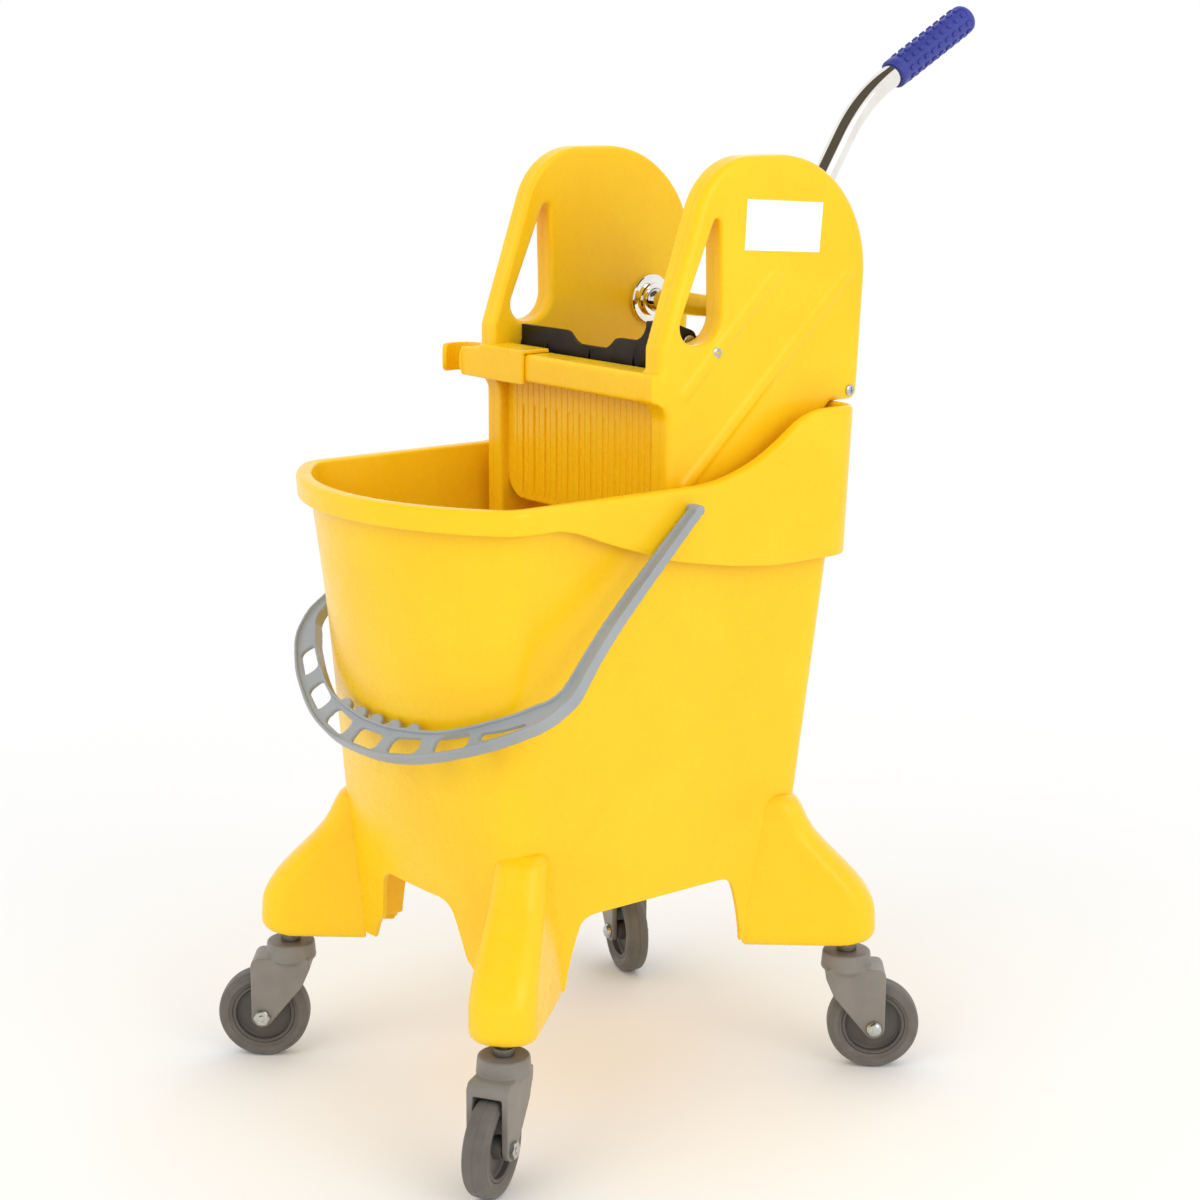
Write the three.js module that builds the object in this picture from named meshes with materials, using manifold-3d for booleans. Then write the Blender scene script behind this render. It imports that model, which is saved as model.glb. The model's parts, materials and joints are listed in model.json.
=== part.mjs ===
// Mop bucket on four swivel casters with a down-press wringer.
// Millimetres. X runs across the bucket, Y from the nose to the rear, Z up.
// Everything is placed from the point on the floor midway between the four caster stems, and the
// finished group is then set on the centre of its own footprint.

import * as THREE from 'three';
import { mergeVertices } from 'three/addons/utils/BufferGeometryUtils.js';
import Module from 'manifold-3d';

const wasm = await Module();
wasm.setup();

// ---------------------------------------------------------------- general fits
const overrun = 6;            // how far a cutting shape runs past what it cuts
const seat = 0.3;             // gap between two pieces that rest on each other
const runningClearance = 0.4; // radial gap between a pin and its bore

// ---------------------------------------------------------------- bucket shell
const bucketWall = 3.5;
const floorHeight = 190;       // top face of the inner floor
const baseLevel = 180;         // level where the base outline is measured
const rimLevel = 480;          // level where the rim outline is measured
const baseHalfWidth = 116;
const rimHalfWidth = 132;
const baseNose = 150;          // front of the nose, forward of the stem centre
const rimNose = 204;
const baseRear = 141;          // rear wall, behind the stem centre
const rimRear = 171;
const rimBow = 188;            // radius of the front wall's bow at the rim
const baseBow = 700;           // and at the base, where it is almost flat
const frontCornerRadius = 25;
const rearCornerRadius = 15;
const floorFillet = 12;
const apronBottom = 126;       // lower ends of the aprons beside the legs

// moulded ledges that carry the wringer's cheeks inside the bucket
const ledgeInner = 102;        // inner end of a ledge, from the middle
const ledgeDrop = 38;
const ledgeLength = 30;
const ledgeY = 48;

// rim and hanging collar
const frontRimHeight = 499;
const rearRimHeight = 547;
const collarOverhang = 10;     // how far the collar stands out from the shell
const collarFlare = 4;         // stands out this much more at its lower edge
const collarDraw = 5;          // and this much less at the rear rim, so that its face is upright
const collarWall = 3;
const rimBand = 18;            // height of the collar round the nose
const collarDrop = 117;        // height of the collar at the rear
const collarFrontY = 116;      // forward of this the collar is only the rim band
const rimRiseStart = 16;       // behind this the rim climbs towards the rear

// arches between the legs
const sideArchHalf = 88;
const sideArchTop = 174;
const endArchHalf = 67;
const endArchTop = 183;

// legs
const stemHalfTrack = 148.7;   // caster stems, across
const stemHalfBase = 173.6;    // caster stems, along
const legBottom = 106.7;
const legTop = 234;
const legReach = 22.5;         // foot beyond the stem axis, along the diagonal
const legWidth = 51.5;
const legCorner = 21;
const legInboard = 104;        // inner end of the leg section, hidden in the shell
const legWall = 3.5;
const bossRadius = 13;
const bossHeight = 50;
const bossRib = 3;

// ---------------------------------------------------------------- casters
const wheelRadius = 37.5;
const wheelWidth = 20;
const trail = 23;              // axle behind the swivel axis
const tyreInnerRadius = 26;
const hubRimWall = 3;
const hubWeb = 5;
const hubBossRadius = 8.5;
const axleRadius = 4;
const axleHeadRadius = 6.5;
const axleHeadHeight = 3;
const nutAcross = 13;
const nutHeight = 4.5;
const forkPlate = 5;
const forkSideGap = 1.5;       // between the wheel and a fork plate
const forkEyeRadius = 8.8;
const forkShoulder = 88;       // top of the fork body
const forkCrown = 77;          // underside of the fork body over the wheel
const capTop = 100;
const capTopRadius = 19.5;
const capSkirtRadius = 20.6;
const capLevel = 88;           // lower edge of the cap's skirt
const capNeckRadius = 17;
const wheelArchGap = 3.5;
const stemRadius = 5.5;
const stemPinRadius = 4.5;
const stemCollarRadius = 8.2;
const stemSocketDepth = 38;
const rivetRadius = 7;
const rivetHeight = 3;
const frontLeftSwivel = 231;   // directions in which the casters trail, degrees
const frontRightSwivel = 301;
const rearRightSwivel = 50;
const rearLeftSwivel = -20;

// ---------------------------------------------------------------- bail handle
const bailPivotY = 3;
const bailPivotZ = 485;
const bailHang = 42;           // degrees below level at rest
const bailHalfSpan = 180;      // widest half of the bow
const bailReach = 275;         // pivot axis to the outer edge of the grip
const bailThickness = 10;
const bailArmWidth = 14.5;
const bailGap = 1.8;           // between the arm and the collar
const bailEyeRadius = 5.6;
const bailEndWall = 3;         // closed outer end of the pin's bore
const bailPinRadius = 2.8;
const bailPinHead = 5;
const bailPinHeadHeight = 2.6;
const bailFlange = 3.8;        // rims beside the channel that runs along each arm
const bailChannelDepth = 2.4;
const bailWindows = 6;
const bailWindowPitch = 44.2;
const bailWindowShift = 19.5;  // the row of windows sits off the middle, to the left
const bailWindowDrop = 12;     // middle of the row, in from the outer edge of the grip
const bailWindowLength = 30;
const bailWindowHeight = 13.5;
const bailBumps = 5;
const bailBumpPitch = 23.2;
const bailBumpRadius = 8;
const bailBumpSink = 1.2;      // the middle of a bump, out from the inner edge

// ---------------------------------------------------------------- wringer
const cheekInner = 95.4;       // inner faces of the cheeks, from the middle
const cheekThickness = 21.1;
const cheekWall = 3;
const partingShare = 0.5;      // where the cover meets the frame, over the cheek's thickness
const cheekFrontY = -2.5;
const cheekStep = 6.5;         // the front edge stands back by this below the lip
const cheekDepth = 207.5;      // front to rear
const cheekKnee = 600;         // height where the front strip starts to rake back
const cheekTop = 740;
const cheekFoot = 442;         // lower end inside the bucket
const slotWall = 3;
const lipTop = 582;
const lipBottom = 560;
const lipFront = 11;           // lip forward of the cheek's front
const lipWall = 4;
const pressFrontY = 11.5;      // front face of the ribbed front wall
const pressWall = 3;
const basketFloor = cheekFoot + 20; // the basket's floor, over the cheeks' feet
const basketCorner = 22;
const fineRibs = 24;
const fineRibPitch = 7.4;
const fineRibHeight = 1;
const drainSlits = 11;
const drainSlitPitch = 15;
const drainSlitWidth = 3;
const grooveShare = 0.55;      // depth of the front wall's grooves over the wall's thickness
const drainSlitTop = THREE.MathUtils.lerp(basketFloor, lipTop, 0.625);
const fixedWallTop = THREE.MathUtils.lerp(basketFloor, lipTop, 0.783);
const fixedWallFootY = 50;
const fixedWallTopY = 92;
const fixedSlits = 11;
const footRest = 28.5;         // length of the cheek's foot on the rear rim
const footRestY = 172;

// cheek covers
const embossHeight = 1.5;
const embossWidth = 9;
const screwRadius = 4.5;
const screwHeadHeight = 2;
const screwShankRadius = 2;
const screwLength = 14;
const screwBossRadius = 6;

// press plate
const plateHalf = 91;
const plateHingeY = 24;
const plateHingeZ = basketFloor + 10; // hinge, over the basket's floor
const plateTop = 600;
const plateWall = 4;
const plateRibHeight = 3.5;
const barrelRadius = 6;
const hingeRodRadius = 3;
const notchHalf = 34;
const notchDepth = 9.5;
const notchX = 0.5;
const gussets = 3;
const gussetPitch = 54.5;
const gussetWall = 3;
const plateBackRibs = 9;
const plateBackRibPitch = 19;
const hornHeight = 16;         // horn above the plate's top edge
const hornInner = 68;          // horn from here to the plate's end
const hornLength = 30;

// cross shaft, lever and linkage
const shaftY = 160;
const shaftZ = 612;
const shaftRadius = 9.5;
const flangeRadius = 21;
const flangeDisc = 4;
const flangeHubRadius = 14;
const flangeHub = 4.5;
const leverX = 42;
const leverRadius = 9.5;
const leverWall = 1.5;
const leverLean = 57.2;        // degrees above level, straight part
const leverStraight = 197;     // shaft axis to the bend
const gripLean = 29.3;
const bendLength = 34;
const gripLength = 104;
const gripWall = 3.2;
const gripGap = 8;             // tube left bare between the bend and the grip
const socketRadius = 15;
const socketLength = 28;
const socketNeck = 32;
const crankRadius = 34;
const crankRest = 226;         // degrees, direction of the crank at rest
const crankX = 79.3;           // inner face of the crank arm
const crankArm = 6.4;
const crankPinRadius = 4;
const crankEyeRadius = 8;
const linkX = 72;
const linkWall = 6;
const linkEyeRadius = 8;
const linkBar = 10;
const earPinY = 44;
const earPinZ = plateTop;
const pinHeadRadius = 6;
const pinHeadHeight = 1.6;
const linkSlotTravel = 16.5;     // height through which the crank pin rides in the link's slot
const linkSlotOffset = -9.2;  // middle of the slot, from the ear pin's level
const linkSlotWidthGap = 1.6;  // play along the pull, takes up the plate's arc

// mop handle clip
const clipX = 136;             // ring axis, to the left
const clipY = -3;
const clipRadius = 18.5;
const clipWall = 4.5;
const clipHeight = 23;
const clipMouth = 80;          // degrees open towards the front
const clipSleeve = 58;
const clipSleeveWall = 3;
const clipSleeveEnd = 42;      // inner end of the sleeve, from the middle

// ---------------------------------------------------------------- materials
function finish(color, roughness, metalness) {
  return () => new THREE.MeshStandardMaterial({ color, roughness, metalness });
}
const yellowPlastic = finish(0xfdc811, 0.42, 0);
const greyPlastic = finish(0x9a9ea2, 0.5, 0);
const casterPlastic = finish(0x84807c, 0.55, 0);
const tyreRubber = finish(0x6e6964, 0.75, 0);
const blackPlastic = finish(0x1d1712, 0.5, 0);
const chrome = finish(0xd8d8d6, 0.12, 1);
const zinc = finish(0xb8bab8, 0.3, 1);
const bluePlastic = finish(0x3a3f96, 0.6, 0);

// ---------------------------------------------------------------- solid helpers
function toSolid(geometry) {
  const bare = geometry.clone();
  for (const name of Object.keys(bare.attributes)) {
    if (name !== 'position') bare.deleteAttribute(name);
  }
  const merged = mergeVertices(bare, 1e-4);
  const index = merged.getIndex().array;
  const kept = [];
  for (let i = 0; i < index.length; i += 3) {
    const [a, b, c] = [index[i], index[i + 1], index[i + 2]];
    if (a !== b && b !== c && c !== a) kept.push(a, b, c);
  }
  const vertProperties = new Float32Array(merged.getAttribute('position').array);
  const triVerts = new Uint32Array(kept);
  return new wasm.Manifold(new wasm.Mesh({ numProp: 3, vertProperties, triVerts }));
}

function toGeometry(solid) {
  const mesh = solid.getMesh();
  const geometry = new THREE.BufferGeometry();
  const stride = mesh.numProp;
  const count = mesh.vertProperties.length / stride;
  const position = new Float32Array(count * 3);
  for (let i = 0; i < count; i += 1) {
    for (let k = 0; k < 3; k += 1) position[3 * i + k] = mesh.vertProperties[stride * i + k];
  }
  geometry.setAttribute('position', new THREE.BufferAttribute(position, 3));
  geometry.setIndex(new THREE.BufferAttribute(new Uint32Array(mesh.triVerts), 1));
  geometry.computeVertexNormals();
  return geometry;
}

const union = (parts) => parts.reduce((all, part) => all.add(part));
const cutAll = (solid, tools) => tools.reduce((rest, tool) => rest.subtract(tool), solid);

// Puts a solid's geometry through a matrix before it becomes a solid.
function moved(geometry, matrix) {
  geometry.applyMatrix4(matrix);
  return geometry;
}

const axisX = new THREE.Vector3(1, 0, 0);
const axisY = new THREE.Vector3(0, 1, 0);
const axisZ = new THREE.Vector3(0, 0, 1);
// Profile coordinates (u, v, extrusion) laid on the object's axes.
const acrossX = new THREE.Matrix4().makeBasis(axisY, axisZ, axisX);
const alongY = new THREE.Matrix4().makeBasis(axisX, axisZ, axisY.clone().negate());
const turnToX = new THREE.Matrix4().makeBasis(axisY, axisX, axisZ.clone().negate());

// A closed polygon of [u, v] points extruded from the level start to the level end.
function prism(points, start, end) {
  const shape = new THREE.Shape(points.map(([u, v]) => new THREE.Vector2(u, v)));
  const options = { depth: end - start, bevelEnabled: false, steps: 1 };
  return new THREE.ExtrudeGeometry(shape, options).translate(0, 0, start);
}
const prismZ = (points, z0, z1) => toSolid(prism(points, z0, z1));
const prismX = (points, x0, x1) => toSolid(moved(prism(points, x0, x1), acrossX));
const prismY = (points, y0, y1) => toSolid(moved(prism(points, -y1, -y0), alongY));

function block(x0, x1, y0, y1, z0, z1) {
  const box = new THREE.BoxGeometry(x1 - x0, y1 - y0, z1 - z0);
  return toSolid(box.translate((x0 + x1) / 2, (y0 + y1) / 2, (z0 + z1) / 2));
}

// A round bar along X, from x0 to x1 about (y, z).
function barX(radius, x0, x1, y, z, sides = 24) {
  const bar = new THREE.CylinderGeometry(radius, radius, x1 - x0, sides);
  bar.rotateZ(Math.PI / 2);
  return toSolid(bar.translate((x0 + x1) / 2, y, z));
}

// A round bar along Z.
function barZ(radius, z0, z1, x, y, sides = 24) {
  const bar = new THREE.CylinderGeometry(radius, radius, z1 - z0, sides);
  bar.rotateX(Math.PI / 2);
  return toSolid(bar.translate(x, y, (z0 + z1) / 2));
}

// Revolves a closed list of [radius, height] points round Z.
function turned(points, sides) {
  const profile = points.map(([r, h]) => new THREE.Vector2(r, h));
  if (points[0][0] !== 0 || points[points.length - 1][0] !== 0) profile.push(profile[0].clone());
  const lathe = new THREE.LatheGeometry(profile, sides);
  const solid = new THREE.BufferGeometry().copy(lathe).rotateX(Math.PI / 2);
  return toSolid(solid);
}

// Revolved solid laid along X: its height runs towards +X (or -X when side is -1).
function turnedX(points, sides, side, y, z) {
  const turn = new THREE.Matrix4().makeRotationY(side * Math.PI / 2);
  const shift = new THREE.Matrix4().makeTranslation(0, y, z);
  return turned(points, sides).transform([...shift.multiply(turn).elements]);
}

function shifted(solid, x, y, z) {
  return solid.translate([x, y, z]);
}

// Rounds the corners of a polygon. Each corner is [u, v, radius].
function rounded(corners, steps = 4) {
  const out = [];
  const count = corners.length;
  for (let i = 0; i < count; i += 1) {
    const [u, v, radius] = corners[i];
    const before = corners[(i + count - 1) % count];
    const after = corners[(i + 1) % count];
    if (!radius) {
      out.push([u, v]);
      continue;
    }
    const a = new THREE.Vector2(before[0] - u, before[1] - v).normalize();
    const b = new THREE.Vector2(after[0] - u, after[1] - v).normalize();
    const half = Math.acos(THREE.MathUtils.clamp(a.dot(b), -1, 1)) / 2;
    const reach = radius / Math.tan(half);
    const middle = a.clone().add(b).normalize().multiplyScalar(radius / Math.sin(half));
    const centre = new THREE.Vector2(u, v).add(middle);
    const from = new THREE.Vector2(u, v).addScaledVector(a, reach).sub(centre);
    const to = new THREE.Vector2(u, v).addScaledVector(b, reach).sub(centre);
    let sweep = Math.atan2(from.x * to.y - from.y * to.x, from.dot(to));
    for (let k = 0; k <= steps; k += 1) {
      const turnBy = sweep * (k / steps);
      const [c, s] = [Math.cos(turnBy), Math.sin(turnBy)];
      out.push([centre.x + from.x * c - from.y * s, centre.y + from.x * s + from.y * c]);
    }
  }
  return out;
}

// Moves a dense polygon's points inwards (negative distance moves them outwards).
function inset(points, distance) {
  const count = points.length;
  const area = points.reduce((sum, [u, v], i) => {
    const [nu, nv] = points[(i + 1) % count];
    return sum + u * nv - nu * v;
  }, 0);
  const turn = Math.sign(area);
  return points.map(([u, v], i) => {
    const [pu, pv] = points[(i + count - 1) % count];
    const [nu, nv] = points[(i + 1) % count];
    const a = new THREE.Vector2(u - pu, v - pv).normalize();
    const b = new THREE.Vector2(nu - u, nv - v).normalize();
    const normal = new THREE.Vector2(-(a.y + b.y), a.x + b.x).normalize().multiplyScalar(turn);
    const spread = Math.max(0.35, normal.x * -a.y * turn + normal.y * a.x * turn);
    return [u + normal.x * distance / spread, v + normal.y * distance / spread];
  });
}

// Skins a stack of closed rings, each a list of [x, y, z] with the same count, and caps it.
function loft(rings) {
  const count = rings[0].length;
  const positions = rings.flat().flat();
  const index = [];
  for (let r = 0; r + 1 < rings.length; r += 1) {
    for (let i = 0; i < count; i += 1) {
      const j = (i + 1) % count;
      const [a, b] = [r * count + i, r * count + j];
      const [c, d] = [a + count, b + count];
      index.push(a, b, d, a, d, c);
    }
  }
  const cap = (ring) => THREE.ShapeUtils.triangulateShape(
    ring.map(([x, y]) => new THREE.Vector2(x, y)), []);
  const last = (rings.length - 1) * count;
  for (const [a, b, c] of cap(rings[0])) index.push(a, c, b);
  for (const [a, b, c] of cap(rings[rings.length - 1])) index.push(last + a, last + b, last + c);
  const geometry = new THREE.BufferGeometry();
  geometry.setAttribute('position', new THREE.Float32BufferAttribute(positions, 3));
  geometry.setIndex(index);
  return toSolid(geometry);
}

function arc(cu, cv, radius, from, to, steps) {
  const out = [];
  for (let i = 0; i <= steps; i += 1) {
    const turn = from + (to - from) * (i / steps);
    out.push([cu + radius * Math.cos(turn), cv + radius * Math.sin(turn)]);
  }
  return out;
}
const degrees = THREE.MathUtils.degToRad;

// ---------------------------------------------------------------- bucket
// Outline of the shell at the base (share 0) or the rim (share 1), grown outwards by an offset:
// nose bow, front corners, straight sides and rear corners. Both halves mirror.
function outlineAt(share, offset) {
  const halfWidth = THREE.MathUtils.lerp(baseHalfWidth, rimHalfWidth, share) + offset;
  const nose = THREE.MathUtils.lerp(baseNose, rimNose, share) + offset;
  const rear = THREE.MathUtils.lerp(baseRear, rimRear, share) + offset;
  const bow = THREE.MathUtils.lerp(baseBow, rimBow, share) + offset;
  const front = Math.max(frontCornerRadius + offset, frontCornerRadius / 8);
  const back = Math.max(rearCornerRadius + offset, rearCornerRadius / 8);
  const bowY = bow - nose;
  const cornerX = halfWidth - front;
  const cornerY = bowY - Math.sqrt((bow - front) ** 2 - cornerX ** 2);
  const meet = Math.atan2(cornerY - bowY, cornerX);
  const right = [
    ...arc(0, bowY, bow, -Math.PI / 2, meet, 5),
    ...arc(cornerX, cornerY, front, meet, 0, 4).slice(1),
    ...arc(halfWidth - back, rear - back, back, 0, Math.PI / 2, 3),
  ];
  const left = right.slice(1).reverse().map(([x, y]) => [-x, y]);
  return [...right, ...left];
}
// The walls are ruled between the base outline and the rim outline.
function shellOutline(height, offset) {
  const share = (height - baseLevel) / (rimLevel - baseLevel);
  const low = outlineAt(0, offset);
  const high = outlineAt(1, offset);
  return low.map(([x, y], i) => [
    THREE.MathUtils.lerp(x, high[i][0], share), THREE.MathUtils.lerp(y, high[i][1], share), height,
  ]);
}

const shellTop = rearRimHeight + overrun;
const shell = (offset, z0, z1) => loft([shellOutline(z0, offset), shellOutline(z1, offset)]);

// Height of the rim along the bucket: level round the nose, then climbing to the rear.
// Shares of the run from where the climb starts to the collar's rear face, and of the climb.
const rimRiseShares = [
  [0, 0], [0.12, 0.04], [0.235, 0.14], [0.36, 0.31], [0.48, 0.56], [0.605, 0.87],
  [0.7, 0.98], [0.8, 1], [1, 1],
];
const collarRearY = rimRear + collarOverhang;
function rimCurve(drop) {
  const run = collarRearY - rimRiseStart;
  const climb = rearRimHeight - frontRimHeight;
  return rimRiseShares.map(([along, up]) => [
    rimRiseStart + run * along, frontRimHeight + climb * up - drop,
  ]);
}
// Lower edge of the collar: shares of the run from the collar's rear face to where only the
// rim band is left, and of the height between the band's edge and the lowest part.
const collarEdgeShares = [
  [0, 0], [0.25, 0], [0.4, 0.07], [0.54, 0.2], [0.645, 0.32], [0.745, 0.5],
  [0.875, 0.76], [0.95, 0.93], [1, 1],
];
const noseEndY = -(rimNose + collarOverhang + overrun);
function collarEdge(drop) {
  const band = frontRimHeight - rimBand;
  const lowest = rearRimHeight - collarDrop;
  const run = collarRearY + collarFrontY;
  return collarEdgeShares.map(([along, up]) => [
    collarRearY - run * along, lowest + (band - lowest) * up - drop,
  ]);
}
// Side view of everything below the rim (less a drop) and above the collar's lower edge.
function collarBand(drop, under) {
  const top = rimCurve(drop);
  const rear = collarRearY + overrun;
  return [
    [noseEndY, frontRimHeight - drop], ...top, [rear, top[top.length - 1][1]],
    [rear, collarEdge(under)[0][1]], ...collarEdge(under),
    [noseEndY, frontRimHeight - rimBand - under],
  ];
}
const pastSides = rimHalfWidth + collarOverhang + overrun;

function legDirection(sx, sy) {
  return Math.atan2(sy * stemHalfBase, sx * stemHalfTrack);
}

// Leg section heights, reach beyond the stem axis and width, as shares of the leg's own sizes.
const legHeightShares = [0, 0.026, 0.077, 0.23, 0.34, 0.772, 0.953, 1];
const legReachShares = [0.52, 0.83, 1, 0.956, 0.71, -1.38, -1.91, -2.3];
const legWidthShares = [0.84, 0.95, 1, 1, 0.97, 0.82, 0.755, 0.6];
function legSolid(sx, sy, offset, z0, reachDrop) {
  const coarse = (share, i) => offset === 0 || i % 2 === 0 || i === legHeightShares.length - 1;
  const rings = legHeightShares.map((share, i) => {
    const z = i === 0 ? z0 : legBottom + (legTop - legBottom) * share - reachDrop;
    const reach = legReach * legReachShares[i] - offset;
    const half = legWidth * legWidthShares[i] / 2 - offset;
    const corner = Math.min(legCorner, half - overrun / 2);
    const plan = rounded([
      [-legInboard, -half, 0], [reach, -half, corner], [reach, half, corner],
      [-legInboard, half, 0],
    ], 3);
    const turn = legDirection(sx, sy);
    const [c, s] = [Math.cos(turn), Math.sin(turn)];
    return plan.map(([d, t]) => [
      sx * stemHalfTrack + d * c - t * s, sy * stemHalfBase + d * s + t * c, z,
    ]);
  }).filter(coarse);
  return loft(rings);
}

// Front and rear arches and side arches, as shares of their half width and height.
function arch(half, top, shares) {
  const height = top - apronBottom;
  const right = shares.map(([across, up]) => [half * across, apronBottom + height * up]);
  const left = right.slice().reverse().map(([u, v]) => [-u, v]);
  return [...right, ...left];
}
const sideArchShares = [
  [1.03, -0.4], [1, 0], [0.955, 0.4], [0.89, 0.78], [0.85, 0.91], [0.78, 0.98], [0.7, 1],
];
const endArchShares = [
  [1.2, -0.4], [1, 0.07], [0.88, 0.21], [0.82, 0.42], [0.76, 0.68], [0.7, 0.87],
  [0.6, 0.97], [0.49, 1],
];

const corners = [[-1, -1], [1, -1], [1, 1], [-1, 1]];

function bucketSolid() {
  const low = apronBottom;
  let body = shell(0, low, shellTop);
  body = body.intersect(prismX([
    [noseEndY, low - overrun], [collarRearY + overrun, low - overrun],
    ...rimCurve(0).slice().reverse().map(([y, z], i) => (i === 0 ? [collarRearY + overrun, z] : [y, z])),
    [noseEndY, frontRimHeight],
  ], -pastSides, pastSides));
  const skirtLow = rearRimHeight - collarDrop - overrun;
  const upright = (inside, z0) => loft([
    shellOutline(z0, collarOverhang + collarFlare - inside),
    shellOutline(shellTop, collarOverhang - collarDraw - inside),
  ]);
  const skirt = upright(0, skirtLow).intersect(prismX(collarBand(0, 0), -pastSides, pastSides));
  const gap = upright(collarWall, skirtLow - overrun)
    .intersect(prismX(collarBand(bucketWall, overrun), -pastSides, pastSides));
  body = body.add(skirt.subtract(gap));
  for (const [sx, sy] of corners) body = body.add(legSolid(sx, sy, 0, legBottom, 0));
  const inside = loft([
    shellOutline(floorHeight, -bucketWall - floorFillet),
    shellOutline(floorHeight + floorFillet * 0.3, -bucketWall - floorFillet * 0.3),
    shellOutline(floorHeight + floorFillet, -bucketWall),
    shellOutline(shellTop + overrun, -bucketWall),
  ]);
  body = body.subtract(inside);
  for (const side of [-1, 1]) {
    const top = cheekFoot - seat;
    const out = rimHalfWidth;
    const ledge = prismY([
      [side * ledgeInner, top], [side * ledgeInner, top - bucketWall],
      [side * out, top - ledgeDrop], [side * out, top],
    ], ledgeY - ledgeLength / 2, ledgeY + ledgeLength / 2);
    body = body.add(ledge.intersect(shell(-bucketWall / 2, floorHeight, shellTop)));
  }
  const under = shell(-bucketWall, legBottom - overrun, floorHeight - bucketWall);
  body = body.subtract(under);
  for (const [sx, sy] of corners) {
    const outer = legSolid(sx, sy, 0, legBottom, 0);
    const hollow = legSolid(sx, sy, legWall, legBottom - overrun, legWall)
      .subtract(shell(0, floorHeight - bucketWall, shellTop));
    body = body.subtract(hollow);
    const [x, y] = [sx * stemHalfTrack, sy * stemHalfBase];
    const boss = barZ(bossRadius, legBottom, legBottom + bossHeight, x, y, 14);
    const turn = legDirection(sx, sy);
    const web = block(-bossRib / 2, bossRib / 2, -legWidth, legWidth, legBottom, legTop)
      .rotate([0, 0, THREE.MathUtils.radToDeg(turn)]).translate([x, y, 0]);
    body = body.add(boss.add(web).intersect(outer));
    body = body.subtract(barZ(stemRadius + seat, legBottom - overrun,
      legBottom + stemSocketDepth + seat, x, y, 10));
  }
  const pastX = stemHalfTrack + legWidth;
  const pastY = stemHalfBase + legWidth;
  body = body.subtract(prismX(arch(sideArchHalf, sideArchTop, sideArchShares), -pastX, pastX));
  body = body.subtract(prismY(arch(endArchHalf, endArchTop, endArchShares), -pastY, pastY));
  for (const side of [-1, 1]) {
    const hole = rimHalfWidth + collarOverhang;
    const [x0, x1] = [hole - collarWall - overrun / 2, hole + overrun].map((x) => side * x);
    body = body.subtract(barX(bailPinRadius + runningClearance, Math.min(x0, x1),
      Math.max(x0, x1), bailPivotY, bailPivotZ, 20));
  }
  return body;
}

// ---------------------------------------------------------------- casters
// Made about the swivel axis, trailing towards +X.
function stemSolid() {
  const foot = forkCrown - rivetHeight;
  return turned([
    [0, foot], [rivetRadius, foot], [rivetRadius, forkCrown - seat], [stemPinRadius, forkCrown - seat],
    [stemPinRadius, capTop + seat], [stemCollarRadius, capTop + seat],
    [stemCollarRadius, legBottom - seat], [stemRadius, legBottom - seat],
    [stemRadius, legBottom + stemSocketDepth], [0, legBottom + stemSocketDepth],
  ], 10);
}

function forkSolid() {
  const eye = forkEyeRadius;
  const back = trail + eye;
  const half = wheelWidth / 2 + forkSideGap + forkPlate;
  const side = [
    [-capNeckRadius, forkShoulder], [-capNeckRadius, forkCrown + forkPlate / 2],
    [-capNeckRadius * 0.6, wheelRadius * 1.7],
    ...arc(trail, wheelRadius, eye, Math.PI * 1.22, Math.PI * 2, 7),
    [back, forkShoulder - forkPlate], [back - forkPlate, forkShoulder],
  ];
  const plates = toSolid(moved(prism(side, -half, half), alongY));
  const slot = wheelWidth / 2 + forkSideGap;
  const archRadius = wheelRadius + wheelArchGap;
  const bay = toSolid(moved(new THREE.CylinderGeometry(archRadius, archRadius, 2 * slot, 22),
    new THREE.Matrix4().makeTranslation(trail, 0, wheelRadius)));
  const below = block(-archRadius, trail + archRadius, -slot, slot, -wheelRadius, wheelRadius);
  const rivetBay = barZ(rivetRadius + seat * 3, wheelRadius, forkCrown, 0, 0, 10);
  const cap = turned([
    [0, forkCrown], [capNeckRadius * 0.8, forkCrown], [capNeckRadius, forkCrown + forkPlate],
    [capSkirtRadius * 0.95, capLevel - forkPlate / 2], [capSkirtRadius, capLevel],
    [capTopRadius, capTop - seat * 3], [capTopRadius * 0.94, capTop], [0, capTop],
  ], 18);
  const bore = barZ(stemPinRadius + seat, wheelRadius, capTop + overrun, 0, 0, 10);
  const axle = toSolid(moved(new THREE.CylinderGeometry(axleRadius + seat, axleRadius + seat,
    2 * half + overrun, 10), new THREE.Matrix4().makeTranslation(trail, 0, wheelRadius)));
  return cutAll(plates.add(cap), [bay, below, rivetBay, bore, axle]);
}

// Wheel pieces, made about the axle: height of the profile runs across the wheel.
function tyreSolid() {
  const half = wheelWidth / 2;
  const rings = [
    [tyreInnerRadius, -half * 0.8], [wheelRadius * 0.82, -half], [wheelRadius * 0.95, -half * 0.9],
    [wheelRadius, -half * 0.55], [wheelRadius, half * 0.55], [wheelRadius * 0.95, half * 0.9],
    [wheelRadius * 0.82, half], [tyreInnerRadius, half * 0.8],
  ];
  return turned(rings, 24);
}
function hubSolid() {
  const half = wheelWidth / 2;
  const outer = tyreInnerRadius - seat;
  const inner = outer - hubRimWall;
  const bore = axleRadius + runningClearance;
  return turned([
    [bore, -half], [hubBossRadius, -half], [hubBossRadius, -hubWeb / 2], [inner, -hubWeb / 2],
    [inner, -half * 0.8], [outer, -half * 0.8], [outer, half * 0.8], [inner, half * 0.8],
    [inner, hubWeb / 2], [hubBossRadius, hubWeb / 2], [hubBossRadius, half], [bore, half],
  ], 16);
}
const forkHalf = wheelWidth / 2 + forkSideGap + forkPlate;
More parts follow.
